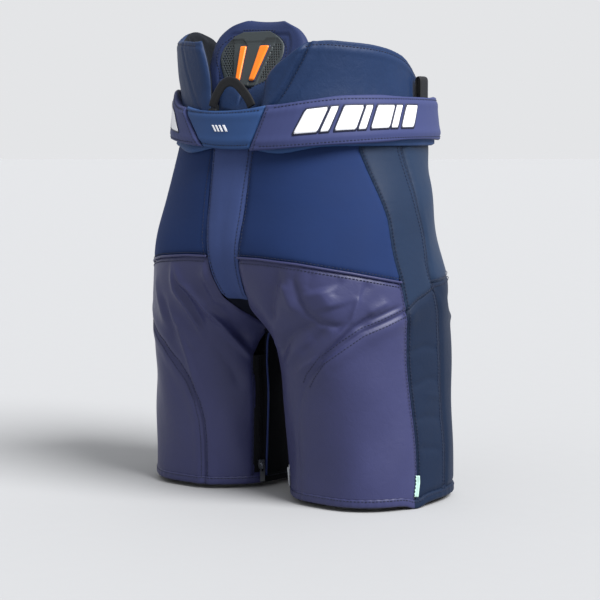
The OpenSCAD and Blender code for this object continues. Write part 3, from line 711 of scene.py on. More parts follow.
def as_sheet(wide, tall, area):
    """Works out the rounded size of the sheet a shell panel was cut from, but does nothing with it; its
    outline isn't a rectangle.
    """
    wide, tall = round(wide * CUT_LARGER, 3), round(tall * CUT_LARGER, 3)


def constant(value):
    """An edge at one angle or height all along."""
    return lambda along: value + 0 * np.asarray(along, float)


# ---------------------------------------------------------------- camera, lights and floor

IMAGE_SIDE = 600
DISTANCE = 2.05
VIEW_ANGLE = math.radians(218)
EYE_HEIGHT = 0.425
AIM_HEIGHT = 0.226
METRES_PER_PIXEL = 0.00121
SENSOR = 36.0
SUN_ANGLE, SUN_RISE = math.radians(266), math.radians(47)
SUN_SPREAD = np.radians(32)
SUN_STRENGTH, SKY_STRENGTH = 6.4, 0.80
SKY_COLOUR = (0.97, 0.98, 1.0, 1.0)
FLOOR_COLOUR = (0.3335, 0.337, 0.345, 1)
FLOOR_REACH = 40


def make_camera():
    data = bpy.data.cameras.new("camera")
    camera = bpy.data.objects.new("camera", data)
    bpy.context.scene.collection.objects.link(camera)
    camera.location = (math.sin(VIEW_ANGLE) * DISTANCE, -math.cos(VIEW_ANGLE) * DISTANCE, EYE_HEIGHT)
    aim = Vector((0, 0, AIM_HEIGHT)) - camera.location
    camera.rotation_mode = "QUATERNION"
    camera.rotation_quaternion = aim.to_track_quat("-Z", "Y")
    data.sensor_width = SENSOR
    data.lens = SENSOR * aim.length / METRES_PER_PIXEL / IMAGE_SIDE
    data.clip_end = 30
    bpy.context.scene.camera = camera


def make_studio():
    corners = [(x * FLOOR_REACH, y * FLOOR_REACH, 0) for x, y in ((-1, -1), (1, -1), (1, 1), (-1, 1))]
    new_object("studio_floor", corners, [(0, 1, 2, 3)], plain_floor())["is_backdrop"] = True
    world = bpy.data.worlds.new("studio")
    bpy.context.scene.world = world
    world.use_nodes = True
    background = world.node_tree.nodes["Background"]
    background.inputs["Color"].default_value = SKY_COLOUR
    background.inputs["Strength"].default_value = SKY_STRENGTH
    sun = bpy.data.objects.new("key", bpy.data.lights.new("key", "SUN"))
    sun.data.energy = SUN_STRENGTH
    sun.data.angle = SUN_SPREAD
    level = math.cos(SUN_RISE)
    toward = Vector((math.sin(SUN_ANGLE) * level, -math.cos(SUN_ANGLE) * level, math.sin(SUN_RISE)))
    sun.rotation_euler = toward.to_track_quat("Z", "Y").to_euler()
    bpy.context.scene.collection.objects.link(sun)
    bpy.context.scene.view_settings.view_transform = "Standard"


def plain_floor():
    n = Nodes("floor_paint")
    place = n.add("TexCoord").outputs["Object"]
    speckle = n.add("TexNoise", {"Vector": place, "Scale": 40.0}).outputs["Fac"]
    ruff = n.add("MapRange", {"Value": speckle, "To Min": 0.75, "To Max": 0.85}).outputs[0]
    n.set(Base_Color=FLOOR_COLOUR, Roughness=ruff)
    return n.material


make_camera()
make_studio()

# ---------------------------------------------------------------- shell panels


def seat_panel(side):
    patch = Patch(strip_back, lambda z: angle_at(z, strip_half(z)), seat_seam, constant(SHELL_TOP), side)
    sewn_panel("seat_fabric", patch, M["seat"], "seat_fabric", ["seat_panel"])
    stitch_edge(patch, "low", 0.004)
    stitch_edge(patch, "end", 0.003)


def leg_back(side):
    limit = ZIP_ANGLE - ZIP_HALF
    free = 300              # how fast the edge swings off the zipper above it, degrees per metre

    def end(z):
        return np.minimum(angle_at(z, strip_half(z)), limit + free * np.maximum(0, z - INNER_TOP))

    patch = Patch(strip_back, end, hem_top, seat_seam, side, step=0.0019)
    sewn_panel("thigh_fabric", patch, M["thigh"], "thigh_fabric",
               ["thigh_yoke", "leg_back", "leg_back_inner"], seams=("start", "end", "high"))
    stitch_edge(patch, "high", 0.0062)
    stitch_edge(patch, "start", 0.0035)
    edge = patch.point(np.linspace(0.002, 0.998, 200), 1.0, -0.0002)
    show(tube("leg_welt_" + SIDES[side], edge, 0.0015, M["thigh"], sides=10), side, "thigh_fabric")
    stitch_edge(patch, "end", 0.004, span=(0, 0.55))
    path = np.array(THIGH_SEAM)
    shares = np.linspace(0, 1 if side == 1 else 0.56, 200)
    ends = np.linspace(0, 1, len(path))
    for shift in (-0.0042, 0.0042):
        def line(u, up, shift=shift):
            a, z = np.interp(u, ends, path[:, 0]), np.interp(u, ends, path[:, 1])
            da, dz = np.gradient(a) * DEGREE, np.gradient(z)
            size = np.hypot(da, dz)
            a, z = a - shift * dz / size / DEGREE, np.maximum(z + shift * da / size, 0.012)
            return body_point(z, a, relief(a, z, side) + up, side)
        stitch("leg_" + SIDES[side], *surface_run(line, shares))


def side_strip(side):
    upper = Patch(strip_front, strip_back, strip_seam, constant(SHELL_TOP), side)
    sewn_panel("hip_strip_fabric", upper, M["side"], "side_strip_fabric", ["hip_strip"])
    # the lower strip takes the darker copy of the strip fabric: painted shade
    lower = Patch(strip_front, strip_back, hem_top, strip_seam, side)
    sewn_panel("leg_strip_fabric", lower, M["leg_side_painted_shade"], "side_strip_fabric", ["leg_strip"])
    for patch in (upper, lower):
        stitch_edge(patch, "start", 0.004)
        stitch_edge(patch, "start", 0.009)
        stitch_edge(patch, "end", 0.004)
    stitch_edge(upper, "low", 0.004)


def front_panels(side):
    limit = FRONT_SPLIT - 360
    free = 900              # how fast the edge swings off the leg seam above it, degrees per metre

    def middle(z):
        return -angle_at(z, np.interp(z, [0.195, 0.25, 0.30, 0.312], [0.009, 0.009, 0.010, 0.024]))

    def start(z):
        return np.maximum(middle(np.maximum(z, INNER_TOP)), limit - free * np.maximum(0, z - INNER_TOP))

    # the upper panel takes the lighter copy of the front fabric, a painted highlight, and the leg panel the
    # darker copy, painted shade
    upper = Patch(middle, strip_front, front_seam, constant(SHELL_TOP), side, step=0.003)
    sewn_panel("front_fabric", upper, M["front"], "front_fabric", ["front_panel"])
    lower = Patch(start, strip_front, hem_top, front_seam, side, step=0.003)
    sewn_panel("leg_front_fabric", lower, M["leg_front"], "front_fabric", ["leg_front"])
    stitch_edge(upper, "low", 0.004)
    stitch_edge(lower, "high", 0.0035)
    stitch_edge(lower, "start", 0.004, span=(0, 0.6))


def halved(low, high, is_low, rounds):
    """The point between low and high where is_low ends, found by halving."""
    for _ in range(rounds):
        middle = (low + high) / 2
        below = is_low(middle)
        low, high = np.where(below, middle, low), np.where(below, high, middle)
    return middle


def inner_panel(side):
    def top(a):
        """Height at which the inner wall reaches the gusset."""
        a = np.asarray(a, float)
        return halved(np.full(a.shape, 0.12), np.full(a.shape, 0.196),
                      lambda z: body_point(z, a)[..., 0] > 0.0095, 18)

    patch = Patch(constant(ZIP_ANGLE + ZIP_HALF), constant(FRONT_SPLIT), hem_top, top, side, step=0.003)
    sewn_panel("inner_leg_fabric", patch, M["inner_leg"], "inner_leg_fabric", ["leg_inner"],
               seams=("start", "end", "low"))
    edge = patch.point(0.0015 / patch.wide, np.linspace(0, 1, 90), 0.0004)
    show(tube("zip_piping_" + SIDES[side], edge, 0.0013, M["piping"]), side, "front_fabric")


for side in (1, -1):
    seat_panel(side)
    leg_back(side)
    side_strip(side)
    front_panels(side)
    inner_panel(side)


def back_strip():
    """The strip down the middle of the back, from the belt to the crotch."""
    z = np.linspace(0.236, SHELL_TOP, 84)[None, :]
    share = np.linspace(1, -1, 29)[:, None]
    x = share * (strip_half(z) - 0.0006)
    edge = strip_half(z) * (1 - np.abs(share))
    gathers = pucker(edge, np.broadcast_to(z, x.shape))
    lift = -SEAM_DIP * np.exp(-(edge / 0.004) ** 2) + gathers + 0.0012 * smooth(edge / 0.02)
    lift = lift - 0.0030 * smooth((0.244 - z) / 0.008)
    x, z = np.broadcast_arrays(x, z)
    y = depth_at(rounded(x), z, 1)
    outer = np.stack([x, y + lift, z], -1)
    inner = outer - [0, CLOTH_THICK, 0]
    made = closed_grid("centre_back_fabric", outer, inner, M["strip"], np.stack([x, z], -1))
    show(made, "waist", "strip_fabric", "centre_back_strip")
    as_sheet(0.062, 0.22, surface_area(np.stack([x, y, z], -1)))
    for edge_side in (1, -1):
        def line(u, up):
            height = 0.24 + u * (SHELL_TOP - 0.24)
            at = edge_side * (strip_half(height) - 0.004)
            return np.stack([at, depth_at(np.abs(at), height, 1) + up - 0.0005, height], -1)
        stitch("waist", *surface_run(line, np.linspace(0, 1, 120)))


def gusset():
    """Stretch fabric under the crotch: a sheet where both halves of the body meet."""
    turns = np.linspace(math.radians(-8), math.radians(188), 110)[None, :]
    share = np.linspace(1, -1, 15)[:, None]
    centre = 0.27           # height of the line that the sheet turns about
    x = share * np.interp(np.sin(turns), [-0.2, 0.35, 0.8, 1], [0.022, 0.016, 0.0105, 0.0105])
    x, turns = np.broadcast_arrays(x, turns)
    soft_x = rounded(x, 0.003)

    def inside(r):
        y, z = r * np.cos(turns), centre - r * np.sin(turns)
        cx, rx, cy, ry = section(z)
        return np.abs((np.abs(soft_x) - cx) / rx) ** SQUARENESS + np.abs((y - cy) / ry) ** SQUARENESS < 1

    r = halved(np.full(x.shape, 0.01), np.full(x.shape, 0.2), inside, 22)
    deep = 0.0012 + 0.0030 * smooth((np.abs(np.cos(turns)) - 0.5) / 0.3)

    def sheet(reach):
        return np.stack([x, reach * np.cos(turns), centre - reach * np.sin(turns)], -1)

    outer, inner = sheet(r - deep), sheet(r - (deep + CLOTH_THICK))
    made = closed_grid("crotch_fabric", outer, inner, M["dark"], np.stack([x, turns * 0.1], -1), -1)
    show(made, "waist", "dark_fabric", "crotch_gusset")
    as_sheet(0.05, 0.36, surface_area(sheet(r)))


back_strip()
gusset()

# ---------------------------------------------------------------- hems, linings and zippers


def loop_mesh(name, points, material):
    """A closed mesh from rings of points: rows run round the leg, columns round the cross section."""
    rows, columns = points.shape[:2]
    faces = []
    for i in range(rows):
        for j in range(columns):
            k, m = (i + 1) % rows, (j + 1) % columns
            faces.append((i * columns + j, k * columns + j, k * columns + m, i * columns + m))
    return turned_out(new_object(name, points.reshape(-1, 3), faces, material))


def turned_out(made):
    """Makes all faces of a closed mesh look outwards."""
    shape = bmesh.new()
    shape.from_mesh(made.data)
    bmesh.ops.recalc_face_normals(shape, faces=shape.faces)
    shape.to_mesh(made.data)
    shape.free()
    return made


# Cross section of the turned hem: offset from the body, height over the fold, in millimetres
HEM_SECTION = np.array([[-1.8, 10.2], [-0.6, 10.4], [0.25, 9.4], [0.45, 7], [0.6, 4], [0.5, 2], [0.0, 0.6],
                        [-0.9, 0], [-1.8, 0.6], [-2.3, 2], [-2.6, 5], [-2.7, 11], [-2.5, 13],
                        [-2.1, 13]]) / 1000


def hem(side):
    a = np.linspace(0, 360, 240, endpoint=False)[:, None]
    z = hem_line(a) + HEM_SECTION[None, :, 1]
    ripple = 0.00022 * np.sin(a * DEGREE * 2 * math.pi / 0.011) * (HEM_SECTION[None, :, 0] > -0.001)
    points = body_point(z, a, HEM_SECTION[None, :, 0] + relief(a, z, side) + ripple, side)
    # the hem takes the darker leg copies of the side strip and front fabric: painted shade low on the leg
    colours = [M[key] for key in ("thigh", "leg_side_painted_shade", "leg_front", "inner_leg")]
    made = loop_mesh("hem_" + SIDES[side], points, colours)
    stretches = [(16, ZIP_ANGLE, 0), (ZIP_ANGLE, FRONT_SPLIT, 3), (FRONT_SPLIT, 345, 2)]
    columns = len(HEM_SECTION)
    for face in made.data.polygons:
        angle = a[(face.index // columns) % len(a), 0]
        face.material_index = next((m for low, high, m in stretches if low <= angle < high), 1)
    show(made, side, "thigh_fabric", "hem_band_" + SIDES[side])

    def line(u, up):
        angle = u * 360
        z = hem_line(angle) + 0.0078
        return body_point(z, angle, 0.0004 + relief(angle, z, side) + up, side)
    stitch("leg_" + SIDES[side], *surface_run(line, np.linspace(0, 1, 500)))


def quilt(a, z, depth, turn, height):
    """Hollows of a quilted lining between seams turn degrees and height metres apart."""
    return -depth * np.abs(np.sin((a / turn) * math.pi)) * np.abs(np.sin(z / height * math.pi))


def leg_lining(side):
    a = np.linspace(0, 360, 120, endpoint=False)[:, None]
    z = np.linspace(0.008, 0.165, 34)[None, :]
    hollows = quilt(a, z, 0.0012, 30, 0.028)
    outer, inner = (body_point(z, a, off + hollows, side) for off in (-0.0172, -0.0188))
    made = loop_mesh("leg_lining_" + SIDES[side], np.concatenate([outer, inner[:, ::-1]], 1), M["lining"])
    show(made, side, "lining", "leg_liner_" + SIDES[side])


def hip_lining():
    a = np.linspace(0, 360, 180, endpoint=False)[:, None]
    z = np.linspace(0.223, 0.424, 44)[None, :]
    half, back, front = (profile(z, k, LINER) for k in (1, 3, 4))
    hollows = quilt(a, z, 0.0013, 20, 0.033)

    def ring(off):
        x = (half + off + hollows) * bow(np.cos(np.radians(a)))
        y = (back + front) / 2 + ((back - front) / 2 + off + hollows) * bow(np.sin(np.radians(a)))
        return np.stack(np.broadcast_arrays(x, y, z), -1)
    made = loop_mesh("hip_lining", np.concatenate([ring(0), ring(-0.0015)[:, ::-1]], 1), M["lining"])
    show(made, "waist", "lining", "girdle_liner")


def zipper(side):
    name = SIDES[side]
    low, high = 0.018, 0.163
    reach = ZIP_HALF + 1.2
    patch = Patch(constant(ZIP_ANGLE - reach), constant(ZIP_ANGLE + reach), constant(low), constant(high),
                  side, step=0.002, off=-0.0016, folds=False)
    s, t = patch.grid()
    made = closed_grid("zip_tape_" + name, patch.point(s, t), patch.point(s, t, -0.0009), M["tape"],
                       np.stack(np.broadcast_arrays(s * patch.wide, t * patch.tall), -1), side)
    show(made, side, "zip_tape", "zipper_tape_" + name)
    pitch, half_tall, depth = 0.0019, 0.0005, 0.0011
    points, faces = [], []
    for i, z in enumerate(np.arange(low + 0.004, high - 0.004, pitch / 2)):
        first = len(points)
        for lift in (-0.0014, -0.0014 + depth):
            for a in (-0.2, 1.4) if i % 2 else (-1.4, 0.2):
                for dz in (-half_tall, half_tall):
                    points.append(body_point(z + dz, ZIP_ANGLE + a, lift, side))
        faces += [tuple(first + k for k in face) for face in
                  ((0, 1, 3, 2), (4, 6, 7, 5), (0, 4, 5, 1), (2, 3, 7, 6), (0, 2, 6, 4), (1, 5, 7, 3))]
    teeth = turned_out(new_object("zip_teeth_" + name, points, faces, M["zip_plastic"], shade=False))
    show(teeth, side, "zip_tape")
    for part in ("zipper_slider_", "zipper_pull_"):
        paint(part + name, M["steel"], 0.0005)


def paint(node, material, bevel):
    """Gives a carried-over CAD node its material, and soft edges."""
    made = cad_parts[node]
    for k in range(max(1, len(made.material_slots))):
        if made.material_slots:
            made.material_slots[k].material = material
        else:
            made.data.materials.append(material)
    edge = made.modifiers.new("soft_edges", "BEVEL")
    edge.width, edge.segments, edge.limit_method = bevel, 2, "ANGLE"


# ---------------------------------------------------------------- pads

pads = []


def spread(length, step, bunch=0.55):
    """Shares from 0 to 1 along a length, closer together towards both ends."""
    u = np.linspace(0, 1, max(6, int(round(length / step)) + 1))
    return (1 - bunch) * u + bunch * (1 - np.cos(math.pi * u)) / 2


def doubled(grid, axis):
    """A grid with smooth points added half way between its own along one axis."""
    g = np.moveaxis(grid, axis, 0)
    wide = np.concatenate([2 * g[:1] - g[1:2], g, 2 * g[-1:] - g[-2:-1]])
    middle = (9 * (wide[1:-2] + wide[2:-1]) - wide[:-3] - wide[3:]) / 16
    result = np.empty((2 * len(g) - 1,) + g.shape[1:])
    result[::2], result[1::2] = g, middle
    return np.moveaxis(result, 0, axis)


class Pad:
    """A stuffed piece: an outer and an inner skin that meet in a rounded edge.

    place(s, t, h) gives its points: s and t are shares across and up, h is the offset outwards.
    """

    def __init__(self, name, place, wide, tall, inside, outside, material, carrier="waist", radius=None,
                 step=0.004, side=1, swell=0.0, start=1.0, inner_material=None):
        self.name, self.carrier, self.side, self.swell = name, carrier, side, swell
        self.materials = [material] + ([inner_material] if inner_material else [])
        self.wide, self.tall = wide, tall
        self.s, self.t = spread(wide, step), spread(tall, step)
        s, t = self.s[:, None], self.t[None, :]
        radius = radius or (outside - inside) * 0.8

        def rise(share, length):
            """How far the skins have parted at a share of the length."""
            return np.sqrt(1 - (1 - np.clip(np.minimum(share, 1 - share) * length / radius, 0, 1)) ** 2)

        parted = rise(s, wide) * rise(t, tall)
        middle, half = (outside + inside) / 2, (outside - inside) / 2 * start
        self.outer = place(s, t, middle + half * parted)
        self.inner = place(s, t, middle - half * parted)
        pads.append(self)

    def mesh(self, name):
        """One mesh of both skins, which share the points of their border."""
        rows, columns = self.outer.shape[:2]
        index = np.arange(rows * columns).reshape(rows, columns)
        other = np.full((rows, columns), -1)
        border = np.zeros((rows, columns), bool)
        border[[0, -1]], border[:, [0, -1]] = True, True
        other[border] = index[border]
        other[~border] = rows * columns + np.arange((~border).sum())
        points = np.concatenate([self.outer.reshape(-1, 3), self.inner[~border]])
        faces = []
        for grid, flip in ((index, self.side < 0), (other, self.side > 0)):
            a, b, c, d = grid[:-1, :-1], grid[1:, :-1], grid[1:, 1:], grid[:-1, 1:]
            quads = np.stack([a, b, c, d] if not flip else [d, c, b, a], -1).reshape(-1, 4)
            faces += [tuple(q) for q in quads.tolist()]
        made = new_object(name, points, faces, self.materials)
        if len(self.materials) > 1:
            for face in made.data.polygons[(rows - 1) * (columns - 1):]:
                face.material_index = 1
        return made, border

    def take(self, made, border):
        """Reads both skins back from a simulated mesh, and caps how far they moved."""
        depsgraph = bpy.context.evaluated_depsgraph_get()
        shaped = made.evaluated_get(depsgraph)
        found = np.zeros(len(shaped.data.vertices) * 3)
        shaped.data.vertices.foreach_get("co", found)
        found = found.reshape(-1, 3)
        rows, columns = self.outer.shape[:2]
        outer, inner = found[:rows * columns].reshape(rows, columns, 3), self.inner.copy()
        inner[~border] = found[rows * columns:]
        inner[border] = outer[border]
        for old, new in ((self.outer, outer), (self.inner, inner)):
            move = new - old
            size = np.linalg.norm(move, axis=-1, keepdims=True)
            old += move * np.minimum(1, self.swell / np.maximum(size, 1e-9))

    def refine(self):
        """One smooth subdivision of both skins."""
        for axis in (0, 1):
            self.outer, self.inner = doubled(self.outer, axis), doubled(self.inner, axis)
        self.s, self.t = doubled(self.s, 0), doubled(self.t, 0)
        for edge in ((0, slice(None)), (-1, slice(None)), (slice(None), 0), (slice(None), -1)):
            self.inner[edge] = self.outer[edge]

    def normals(self):
        n = np.cross(np.gradient(self.outer, axis=0), np.gradient(self.outer, axis=1)) * self.side
        return n / np.maximum(np.linalg.norm(n, axis=-1, keepdims=True), 1e-12)

    def carve(self, lift):
        """Moves the outer skin by lift metres along its normals."""
        edge = np.minimum(np.minimum(self.s, 1 - self.s)[:, None] * self.wide,
                          np.minimum(self.t, 1 - self.t)[None, :] * self.tall)
        self.outer = self.outer + self.normals() * (lift * smooth(edge / 0.003))[..., None]

    def point(self, s, t, lift=0.0):
        """Points over the finished outer skin."""
        s, t = np.broadcast_arrays(np.asarray(s, float), np.asarray(t, float))
        i = np.clip(np.searchsorted(self.s, s, side="right") - 1, 0, len(self.s) - 2)
        j = np.clip(np.searchsorted(self.t, t, side="right") - 1, 0, len(self.t) - 2)
        u = ((s - self.s[i]) / (self.s[i + 1] - self.s[i]))[..., None]
        v = ((t - self.t[j]) / (self.t[j + 1] - self.t[j]))[..., None]
        lifted = self.outer + self.normals() * 1e-3

        def at(grid):
            return ((1 - u) * (1 - v) * grid[i, j] + u * (1 - v) * grid[i + 1, j]
                    + (1 - u) * v * grid[i, j + 1] + u * v * grid[i + 1, j + 1])
        base = at(self.outer)
        return base + (at(lifted) - base) * (np.asarray(lift, float) / 1e-3)[..., None]

    def finish(self, nodes, slot, fill=0.8):
        """Makes the object that is shown; fill is not used."""
        made, _ = self.mesh(self.name)
        show(made, self.carrier, slot, *nodes)


AIR_STEPS = 20


def blown_up(made):
    """Gives a pad's mesh the cloth and the air pressure that swell it."""
    air = made.modifiers.new("air", "CLOTH")
    settings = air.settings
    settings.use_pressure, settings.uniform_pressure_force = True, 4.0
    settings.effector_weights.gravity = 0
    settings.tension_stiffness = settings.compression_stiffness = 8
    settings.shear_stiffness, settings.bending_stiffness = 4, 0.4
    air.collision_settings.use_self_collision = False
    air.point_cache.frame_start, air.point_cache.frame_end = 1, AIR_STEPS


def inflate():
    """Swells all pads that have a swell with one cloth simulation, then subdivides them."""
    scene = bpy.context.scene
    jobs = [(pad, *pad.mesh("swelling_" + pad.name)) for pad in pads if pad.swell]
    for _, made, _ in jobs:
        blown_up(made)
    for step in range(1, AIR_STEPS + 1):
        scene.frame_set(step)
    for pad, made, border in jobs:
        pad.take(made, border)
    for _, made, _ in jobs:
        mesh = made.data
        bpy.data.objects.remove(made)
        bpy.data.meshes.remove(mesh)
    scene.frame_set(1)
    for pad in pads:
        pad.refine()


def soft_curve(x, xs, ys, blur):
    """A polyline with its corners rounded off."""
    return sum(np.interp(x + k * blur, xs, ys) for k in (-1, -0.5, 0, 0.5, 1)) / 5


# Belt: it dips and narrows towards the middle of the back
BELT_IN, BELT_OUT = 0.005, 0.014
BELT_FRONT = -76


def dip(a):
    """How far the belt has dipped, from 0 at the side to 1 at the middle of the back."""
    return np.where(a < 0, 0, smooth((np.abs(a) - 30) / 60))


def belt_bottom(a, side=1):
    drop = 0.0068 * np.exp(-((a - 48) / 34) ** 2) if side == -1 else 0
    return 0.418 - 0.009 * dip(a) - drop


def belt_rim(a, side=-1):
    rise = 0.010 * smooth((64 - a) / 30) * smooth((a + 60) / 60) if side == 1 else 0
    return 0.470 - 0.016 * dip(a) + rise


def belt_seam(z, side=1):
    """Angle of the slanted seam between the middle and the side of the belt."""
    return np.interp(z, [0.409, 0.455], [81, 64.5] if side == 1 else [80, 73.5])


def belt_centre_place(s, t, h):
    a = 72 + 36 * s
    low = belt_bottom(90 - np.abs(a - 90)) - 0.0022 * s
    z = low * (1 - t) + belt_rim(90 - np.abs(a - 90)) * t
    left, right = belt_seam(z), 180 - belt_seam(z, -1)
    return body_point(z, left + (right - left) * s, h)


def belt_side_place(side):
    def place(s, t, h):
        a = BELT_FRONT + (70 - BELT_FRONT) * s
        z = belt_bottom(a, side) * (1 - t) + belt_rim(a, side) * t
        a = BELT_FRONT + (belt_seam(z, side) - BELT_FRONT) * s
        return body_point(z, a, h + stand_off(a) - under_belt(z, a), side)
    return place


# Kidney pads: wings that stand up out of the belt. The left one stands higher and is cut squarer at the back
WING_FRONT = -50
WING_LOW = 0.432
WING_TOP = {     # share along the wing and height
    -1: np.array([[0, 466], [0.12, 478], [0.25, 494], [0.36, 512], [0.47, 522], [0.6, 527], [0.75, 530],
                  [0.92, 533], [1, 529]]) / [1, 1000],
    1: np.array([[0, 466], [0.12, 482], [0.25, 512], [0.36, 540], [0.46, 551], [0.56, 552], [0.64, 547],
                 [0.72, 540], [0.86, 538], [1, 533]]) / [1, 1000]}
WING_BACK = {-1: (79, 75, 62, 53, 49), 1: (79, 77, 74, 71, 68)}
WING_PLEAT = np.array([[432, 78], [460, 70], [476, 65.5], [510, 58], [532, 54]]) / [1000, 1]


def wing_top(s, side):
    return soft_curve(s, WING_TOP[side][:, 0], WING_TOP[side][:, 1], 0.05)


def wing_back(z, side):
    """Angle of a wing's back edge."""
    return soft_curve(z, [0.432, 0.495, 0.520, 0.532, 0.545], WING_BACK[side], 0.010)


def wing_pleat(z):
    """Angle of the seam that pulls a wing in."""
    return np.interp(z, WING_PLEAT[:, 0], WING_PLEAT[:, 1])


def wing_place(side):
    def place(s, t, h):
        z = WING_LOW + (wing_top(s, side) - WING_LOW) * t
        flare = 0.004 * smooth((z - 0.47) / 0.06)
        return body_point(z, WING_FRONT + (wing_back(z, side) - WING_FRONT) * s, h + flare, side)
    return place


# Spine pad: a dome that leans inwards behind the plate
SPINE_Y, SPINE_Z, LEAN = 0.1156, 0.436, math.radians(22.4)
SPINE_LENGTH = (0.560 - SPINE_Z) / math.cos(LEAN)
SPINE_HALF = np.array([[0, 29], [18, 33], [30, 48], [42, 60], [66, 70], [90, 71], [106, 69], [117, 61],
                       [126, 48], [131, 36], [133, 27], [134.1, 16]]) / 1000
COVER_LOW = 0.012
COVER_TOP = np.array([[0, 56], [0.28, 50], [0.44, 42], [0.5, 39], [0.56, 42], [0.72, 50],
                      [1, 56]]) / [1, 1000]


def spine_point(x, v, h):
    """A point x across, v up and h out from the leaning back of the spine pad."""
    x, v, h = np.broadcast_arrays(*(np.asarray(k, float) for k in (x, v, h)))
    return np.stack([x, SPINE_Y + h * math.cos(LEAN) - v * math.sin(LEAN),
                     SPINE_Z + h * math.sin(LEAN) + v * math.cos(LEAN)], -1)


def spine_half(v):
    return soft_curve(v, SPINE_HALF[:, 0], SPINE_HALF[:, 1], 0.006)


def spine_place(s, t, h):
    v = SPINE_LENGTH * t
    x = (1 - 2 * s) * spine_half(v)
    return spine_point(x, v + 0.05 * x * smooth(t * 1.4), h + 0.004 * (1 - 2 * s) ** 2 * smooth(t * 2))


def cover_place(s, t, h):
    top = soft_curve(s, COVER_TOP[:, 0], COVER_TOP[:, 1], 0.02)
    v = COVER_LOW + (top - COVER_LOW) * t
    half = np.interp(v, [0.012, 0.024, 0.056], [0.030, 0.034, 0.044])
    return spine_point((1 - 2 * s) * half, v, h)


def tailbone_place(s, t, h):
    z = 0.291 + 0.108 * t
    x = (1 - 2 * s) * np.interp(z, [0.290, 0.330, 0.400], [0.034, 0.051, 0.055])
    x, z, h = np.broadcast_arrays(x, z, h)
    return np.stack([x, depth_at(rounded(x), z, 1) + h, z], -1)


BELT_SHAPE = {"inside": BELT_IN, "outside": BELT_OUT, "radius": 0.006, "swell": 0.0025, "start": 0.8}
WING_SHAPE = {"inside": -0.009, "outside": 0.0035, "radius": 0.009, "swell": 0.004, "start": 0.75}
belt_centre = Pad("belt_centre", belt_centre_place, 0.135, 0.046, material=M["belt_blue"], **BELT_SHAPE)
belt_sides = {side: Pad("belt_side_pad_" + SIDES[side], belt_side_place(side), 0.335, 0.050,
                        material=M["belt"], side=side, **BELT_SHAPE) for side in (1, -1)}
wings = {side: Pad("kidney_wing_" + SIDES[side], wing_place(side), 0.27, 0.10, material=M["wing"], side=side,
                   inner_material=M["pad_lining"], **WING_SHAPE) for side in (1, -1)}
spine = Pad("spine_dome", spine_place, 0.13, SPINE_LENGTH, -0.0175, 0.0, M["spine"], radius=0.011,
            swell=0.0012, start=0.95)
cover = Pad("spine_cover_pad", cover_place, 0.08, 0.045, 0.0004, 0.006, M["wing"], radius=0.004, step=0.003,
            swell=0.0015)
hidden = []                # pads inside the shell, with the nodes they stand for


def hidden_pad(side, name, node, low, top, inside, outside, key, **settings):
    """A pad inside the shell, from the height low up to an edge of (angle, height) points."""
    angles, heights = zip(*top)
    patch = Patch(constant(angles[0]), constant(angles[-1]), constant(low),
                  lambda a: np.interp(a, angles, heights), side, folds=False)
    pad = Pad(f"{name}_{SIDES[side]}", patch.point, patch.wide, patch.tall, inside, outside, M[key],
              side=side, step=0.006, **settings)
    hidden.append((pad, f"{node}_{SIDES[side]}"))


for side in (1, -1):
    hidden_pad(side, "hip_foam", "hip_pad", 0.291, [(-47, 0.401), (47, 0.401)], -0.0128, -0.0042, "foam")
    hidden_pad(side, "thigh_foam_pad", "thigh_foam", 0.021,
               [(-117, 0.158), (-64, 0.172), (7, 0.182), (61, 0.192)], -0.0155, -0.0082, "foam", carrier=side)
    hidden_pad(side, "thigh_shell", "thigh_guard", 0.025,
               [(-111, 0.152), (-62, 0.167), (2, 0.178), (51, 0.187)], -0.0072, -0.0048, "guard",
               carrier=side, radius=0.0015)
hidden.append((Pad("tailbone_foam", tailbone_place, 0.10, 0.108, -0.0145, -0.0048, M["foam"], step=0.006),
               "tailbone_pad"))
inflate()

# ---- sewn channels, prints and stitches on the pads


def channel(distance, width=0.0022, depth=0.0016, shoulder=0.0005):
    """A groove pulled in by a seam, with a slightly raised shoulder."""
    raised = shoulder * np.exp(-((distance - 2.6 * width) / (1.5 * width)) ** 2)
    return -depth * np.exp(-(distance / width) ** 2) + raised


def edge_channels(pad, inset=0.0045, depth=0.0012):
    """Grooves and gathers along a pad's low and high edges."""
    t, s = pad.t[None, :], pad.s[:, None]
    lift = sum(channel(np.abs(d - inset), depth=depth) for d in (t * pad.tall, (1 - t) * pad.tall))
    ripple = 0.00022 * np.sin(s * pad.wide / 0.009 * 2 * math.pi + 2 * np.sin(s * 40))
    near = np.exp(-np.minimum(t, 1 - t) * pad.tall / 0.010)
    pad.carve(np.broadcast_to(lift, pad.outer.shape[:2]) + ripple * near)


def pad_stitches(pad, edge, inset, span=(0.02, 0.98), samples=240):
    """Stitches along one edge of a pad at the waist, inset metres inside it."""
    share = inset / (pad.wide if edge in ("start", "end") else pad.tall)
    share = share if edge in ("start", "low") else 1 - share
    line = ((lambda u, up: pad.point(share, u, up)) if edge in ("start", "end")
            else (lambda u, up: pad.point(u, share, up)))
    stitch("waist", *surface_run(line, np.linspace(*span, samples)))


